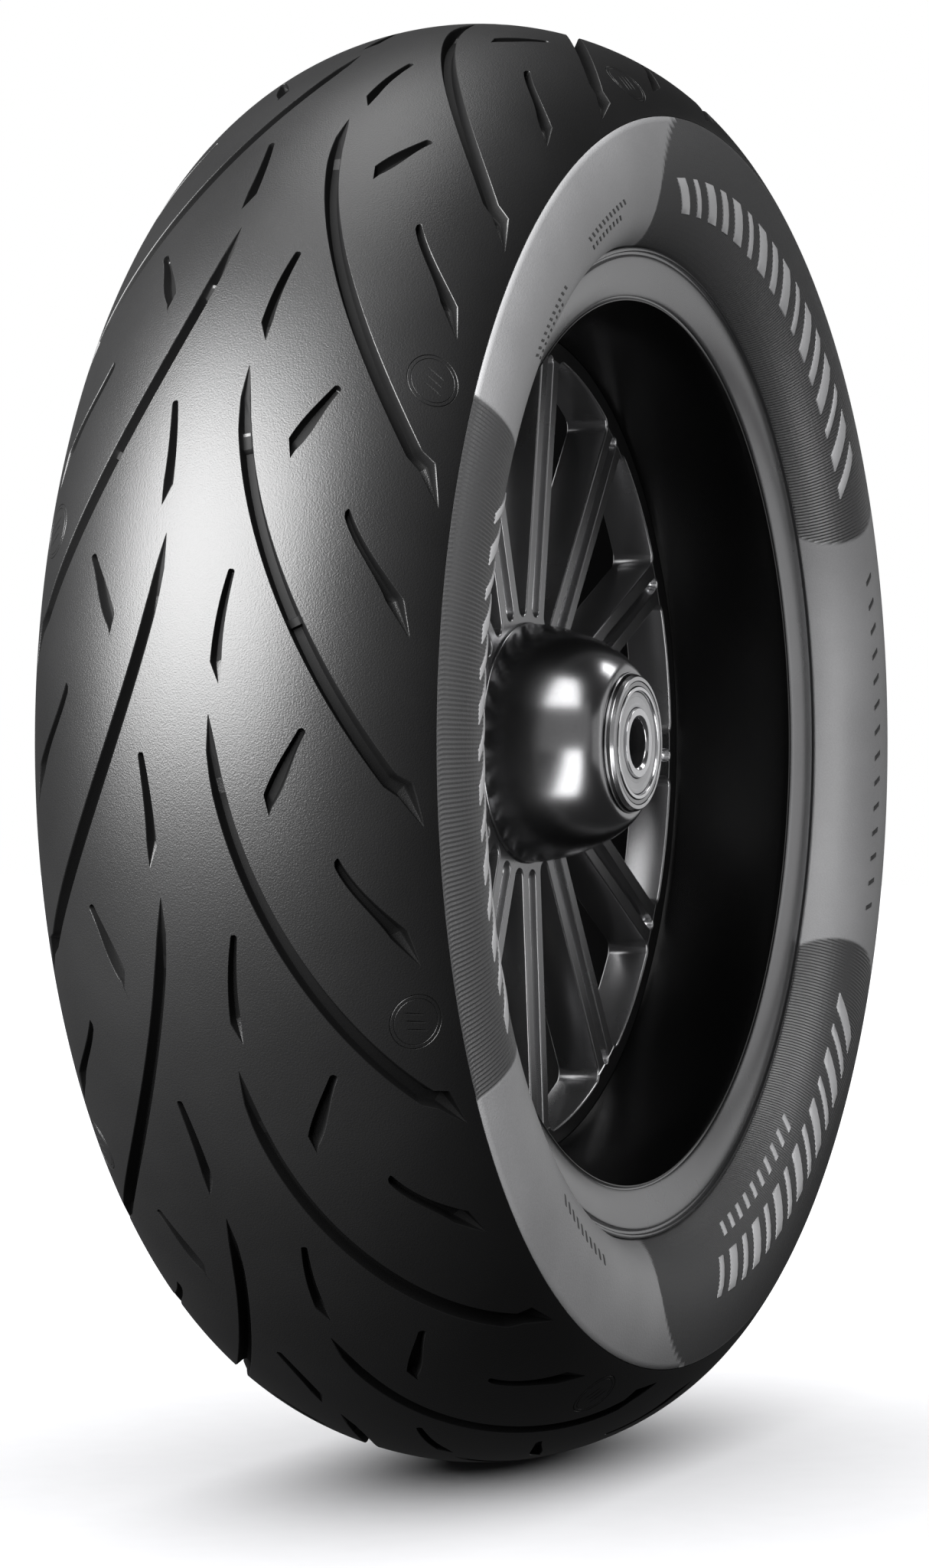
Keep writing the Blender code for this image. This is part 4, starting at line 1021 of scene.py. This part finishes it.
# %% Rings and seals
def ring_pair(word, centre, outside):
    """Both rings and both seals of one bearing. outside is the side that looks out of the wheel."""
    half = 7.0  # mm, half of the bearing's width
    outer_run = np.array([
        [half, 25.0], [half, 23.3], [half - 1.0, 22.9], [half - 2.5, 22.9], [3.8, 20.4],
        [1.33, 23.8],
    ])
    inner_run = np.array([
        [half - 1.4, 11.0], [half, 12.3], [half, 15.4], [half - 1.4, 15.6], [3.3, 15.4],
        [1.14, 13.6],
    ])
    made = []
    for part, run, body in (
        ("outer_ring", outer_run, "wheel"), ("inner_ring", inner_run, "axle_core"),
    ):
        profile = mm(np.concatenate([run, run[::-1] * [-1, 1]])) + [centre, 0]
        piece = turned_piece(f"{word}_{part}", softened(profile, 0.35 * MM), 160, RACE_STEEL)
        stands_for(piece, f"bearing_{part}_{word}", body)
        made.append(piece)
    seal_run = np.array([
        [half - 1.2, 15.95], [half - 1.15, 17.3], [half - 1.45, 17.8], [half - 1.45, 20.6],
        [half - 1.15, 21.1], [half - 1.15, 22.6], [half - 2.1, 22.6], [half - 2.1, 15.95],
    ])
    for side, face in ((outside, "outside"), (-outside, "inside")):
        profile = mm(seal_run * [side, 1]) + [centre, 0]
        piece = turned_piece(f"{word}_{face}_seal", softened(profile, 0.2 * MM), 160, SEAL_RUBBER)
        stands_for(piece, f"bearing_seal_{word}_{face}")
        made.append(piece)
    return made


bearing_pieces = ring_pair("near", -58.15 * MM, NEAR) + ring_pair("far", 49.5 * MM, FAR)
print("bearing pieces:", [piece.name for piece in bearing_pieces])

# %% [markdown]
# ## The valve
#
# A clamp-in valve stands on the far side of the disc and points to the axle. Its thread is a real
# spiral: the radius follows a saw of (height / pitch - angle), so one formula gives every turn of
# it. The cap's grips are a wave of its angle, and the nut is a hexagon whose corners a cone cuts.

# %% Valve surfaces
VALVE_SEGMENTS, THREAD_PITCH, GRIPS = 96, 0.8, 18
turn = turns(VALVE_SEGMENTS)


def valve_lathe(name, heights, radii, chosen, node, body="wheel"):
    """A grid of (height, radius) rows in mm, turned about the valve's axis, which points up to the
    axle. Each radius may change with the angle: radii is an array (row, angle)."""
    heights = mm(heights)[:, None] * np.ones(VALVE_SEGMENTS)
    radii = np.broadcast_to(mm(radii), heights.shape)
    points = np.stack([
        radii * np.cos(turn), VALVE_Y + radii * np.sin(turn), -WELL_RADIUS + heights,
    ], -1).reshape(-1, 3)
    mesh = mesh_from(name, points, outward(points, grid_quads(*heights.shape)))
    sharpen(mesh)
    piece = add_piece(name, mesh, chosen)
    stands_for(piece, node, body)
    return piece


def rows(*radii):
    """Rows of a round part: one radius each."""
    return np.array(radii)[:, None] * np.ones(VALVE_SEGMENTS)


# %% Stem and washer
thread_heights = np.linspace(8.0, 31.6, 142)
saw = np.abs((thread_heights[:, None] / THREAD_PITCH - turn / (2 * np.pi)) % 1 - 0.5) * 2
stem_heights = [-4.5, -4.5, -4.2, -2.5, -2.2, -2.2, 7.8, *thread_heights, 32, 32, -4.49]
stem_radii = [rows(2.6, 7.7, 8.0, 8.0, 7.7, 3.9, 3.9), 3.55 + 0.35 * saw, rows(3.4, 2.6, 2.6)]
stem = valve_lathe("threaded_stem", stem_heights, np.concatenate(stem_radii), VALVE_NICKEL,
                   "valve_stem")
washer = valve_lathe("soft_washer", [-1.9, -1.9, -1.6, -0.6, -0.3, -0.3],
                     rows(4.4, 7.3, 7.7, 7.7, 7.3, 4.4), INNER_RUBBER, "valve_washer")

# %% Nut and cap
hexagon = 6.0 / np.cos((turn + np.pi / 6) % (np.pi / 3) - np.pi / 6)
cone = rows(6.2, 6.55, 7.2, 7.2, 6.55, 6.2)
nut_radii = np.concatenate([rows(4.2), np.minimum(hexagon, cone), rows(4.2)])
nut = valve_lathe("clamp_nut", [5.5, 5.5, 5.75, 6.3, 9.2, 9.75, 10.0, 10.0], nut_radii,
                  VALVE_NICKEL, "valve_nut")
cap_heights = [24.3, 24.3, 24.6, 25.0, 31.4, 32.2, 33.6, 34.2, 34.3, 33.0, 33.0]
cap_radii = rows(4.2, 5.1, 5.3, 5.3, 5.3, 5.2, 4.9, 4.3, 0.0, 0.0, 4.2)
cap_radii[2:6] += 0.16 * np.cos(GRIPS * turn)
cap = valve_lathe("grip_cap", cap_heights, cap_radii, CAP_PLASTIC, "valve_cap",
                  "valve_cap")
print("valve pieces:", stem.name, washer.name, nut.name, cap.name)

# %% [markdown]
# ## Pieces that stay as the CAD made them
#
# The belts, ply, liner and bead parts, the balls, the spacer and the valve's core and pin are out
# of sight or already have the right shape. They only get a finish: the belts and the ply show their
# cords as fine waves round the tire, and the steel beads are bronze coated.

# %% Finishes of the inner pieces
def corded(made, per_metre):
    """Fine cords: a wave across the axle, which runs round the tire on every belt."""
    place, wave = add_node(made, "TexCoord"), add_node(made, "TexWave", Scale=per_metre)
    wave.bands_direction = "Y"
    made.node_tree.links.new(place.outputs["Object"], wave.inputs["Vector"])
    tint_by(made, wave.outputs["Fac"], (0.16, 0.12, 0.07))


corded(CORD_PLY, 160)
INNER_PIECES = (
    (CORD_PLY, "belt_outer belt_inner carcass_ply"),
    (INNER_RUBBER, "inner_liner bead_filler_near bead_filler_far"),
    (BEAD_STEEL, "bead_wire_near bead_wire_far"),
    (RACE_STEEL, "ball_cage_near ball_cage_far"),
    (TURNED_METAL, "axle_spacer"),
    (VALVE_NICKEL, "valve_core valve_pin"),
)
for chosen, names in INNER_PIECES:
    for node in names.split():
        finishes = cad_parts[node].data.materials
        finishes.clear()
        finishes.append(chosen)
    print(chosen.name, "on", names)

# %% [markdown]
# ## Camera, floor and light
#
# The camera stands level with the axle, ahead of the wheel and to its near side, with a long lens.
# The floor is pale and takes its light and its shadow from its own wide light, so that it stays
# white round the wheel. Studios hang flags beside their lamps to keep the light of each off what it
# would spoil. Light linking does that here: tread and near wall have a key from the left that draws
# the broad sheen, the far side has a soft fill, and the metals have boxes of their own to mirror.

# %% Camera
CAMERA_PLACE, CAMERA_AIM = (-1.932, -0.824, 0.0), (0.9198, 0.3923, 0.0)
lens = bpy.data.cameras.new("camera")
lens.lens, lens.sensor_width, lens.sensor_fit = 107.25, 36.0, "AUTO"
lens.shift_x, lens.shift_y = -0.0256, -0.0262
camera = in_scene("camera", lens)
camera.location = CAMERA_PLACE
camera.rotation_euler = Vector(CAMERA_AIM).to_track_quat("-Z", "Y").to_euler()
bpy.context.scene.camera = camera
print("camera, metres from the wheel's centre:", round(camera.location.length, 2))

# %% Floor and backdrop
FLOOR_HALF, FLOOR_Z = 8, -TIRE_RADIUS - 0.1 * MM
floor_mesh = bpy.data.meshes.new("floor")
floor_mesh.from_pydata([
    (x * FLOOR_HALF, y * FLOOR_HALF, FLOOR_Z) for x, y in ((-1, -1), (1, -1), (1, 1), (-1, 1))
], [], [(0, 1, 2, 3)])
PALE_FLOOR = finish("pale_floor", 0.80, 0.84, (0.8, 0.9), 2, 60, 0.01)
floor = add_piece("floor", floor_mesh, PALE_FLOOR)
floor.visible_diffuse = floor.visible_glossy = floor.visible_shadow = False

world = bpy.data.worlds.new("studio")
bpy.context.scene.world = world
world.use_nodes = True
# The camera sees white, and the wheel is lit by a dim grey.
sky, join = world.node_tree.nodes, world.node_tree.links.new
set_sockets(sky["Background"], {"Color": (0.5, 0.5, 0.51, 1), "Strength": 0.09})
seen = add_node(world, "Background", Color=(1, 1, 1, 1), Strength=1.0)
path, choose = add_node(world, "LightPath"), add_node(world, "MixShader")
sources = (path.outputs["Is Camera Ray"], sky["Background"].outputs[0], seen.outputs[0])
for source, socket in zip(sources, choose.inputs):
    join(source, socket)
join(choose.outputs[0], sky["World Output"].inputs["Surface"])
bpy.context.scene.view_settings.view_transform = "Standard"


# %% Lights
def receivers(name, pieces):
    """A collection of the pieces that a light reaches, as flags beside a lamp would do it."""
    chosen = bpy.data.collections.new(name)
    for piece in pieces:
        chosen.objects.link(piece)
    return chosen


def soft_box(name, direction, distance, size, radiance, reaches=None):
    """A rectangular light that looks at the wheel's centre from a direction (x, y, z). Its power is
    pi times its radiance times its area."""
    light = bpy.data.lights.new(name, "AREA")
    light.shape, light.size, light.size_y = "RECTANGLE", *size
    light.energy = math.pi * radiance * size[0] * size[1]
    box = in_scene(name, light)
    away = Vector(direction).normalized()
    box.location = away * distance
    box.rotation_euler = (-away).to_track_quat("-Z", "Y").to_euler()
    if reaches:
        box.light_linking.receiver_collection = reaches


metal = [disc, hub, nose_ring, *bearing_pieces, stem, nut]
near_rubber = receivers("near_rubber", [near_wall, *near_raised])
tread_and_near = receivers("tread_and_near", [tread, near_wall, *near_raised])
far_side = receivers("far_side", [far_wall, *far_raised, rim, *metal, washer, cap])
metal_only, disc_only = receivers("metal_only", metal), receivers("disc_only", [disc])
rim_and_metal = receivers("rim_and_metal", [rim, *metal])
# Name, direction, distance, size, radiance and what it reaches.
for box in (
    ("key_left", (-0.84, 0.30, 0.42), 2.4, (2.8, 2.2), 24, tread_and_near),
    ("top", (0.1, 0.1, 1.0), 2.4, (1.2, 1.6), 3, tread_and_near),
    ("front_left", (-0.60, -0.78, 0.10), 1.3, (0.6, 1.0), 9, near_rubber),
    ("far_fill", (0.35, 0.90, 0.30), 2.6, (2.4, 2.4), 2.2, far_side),
    ("metal_left", (-0.60, 0.40, 0.70), 2.4, (1.4, 1.4), 3, metal_only),
    ("metal_top", (-0.51, -0.34, 0.79), 2.4, (1.3, 1.3), 4.5, metal_only),
    ("metal_low", (-0.63, -0.58, -0.51), 2.2, (0.7, 1.9), 5, metal_only),
    ("metal_front", (-0.70, -0.60, 0.25), 2.6, (2.4, 2.4), 0.35, metal_only),
    ("channel_strip", (-0.95, -0.30, 0.1), 2.6, (0.9, 2.4), 5, disc_only),
    ("nose_spot", (0.55, -0.48, 0.68), 2.4, (0.5, 0.8), 8, metal_only),
    ("lip_fill", (0.45, -0.88, 0.05), 2.6, (1.6, 2.2), 0.8, rim_and_metal),
    ("side_right", (0.93, -0.36, 0.05), 3.0, (1.8, 2.2), 0.7),
    ("face_fill", (0.0, -1.0, 0.05), 2.8, (2.0, 2.0), 0.5, rim_and_metal),
):
    soft_box(*box)
sun = bpy.data.lights.new("floor_light", "SUN")
sun.energy, sun.angle = 5.0, math.radians(145)
over_floor = in_scene("floor_light", sun)
over_floor.light_linking.receiver_collection = receivers("floor_only", [floor])
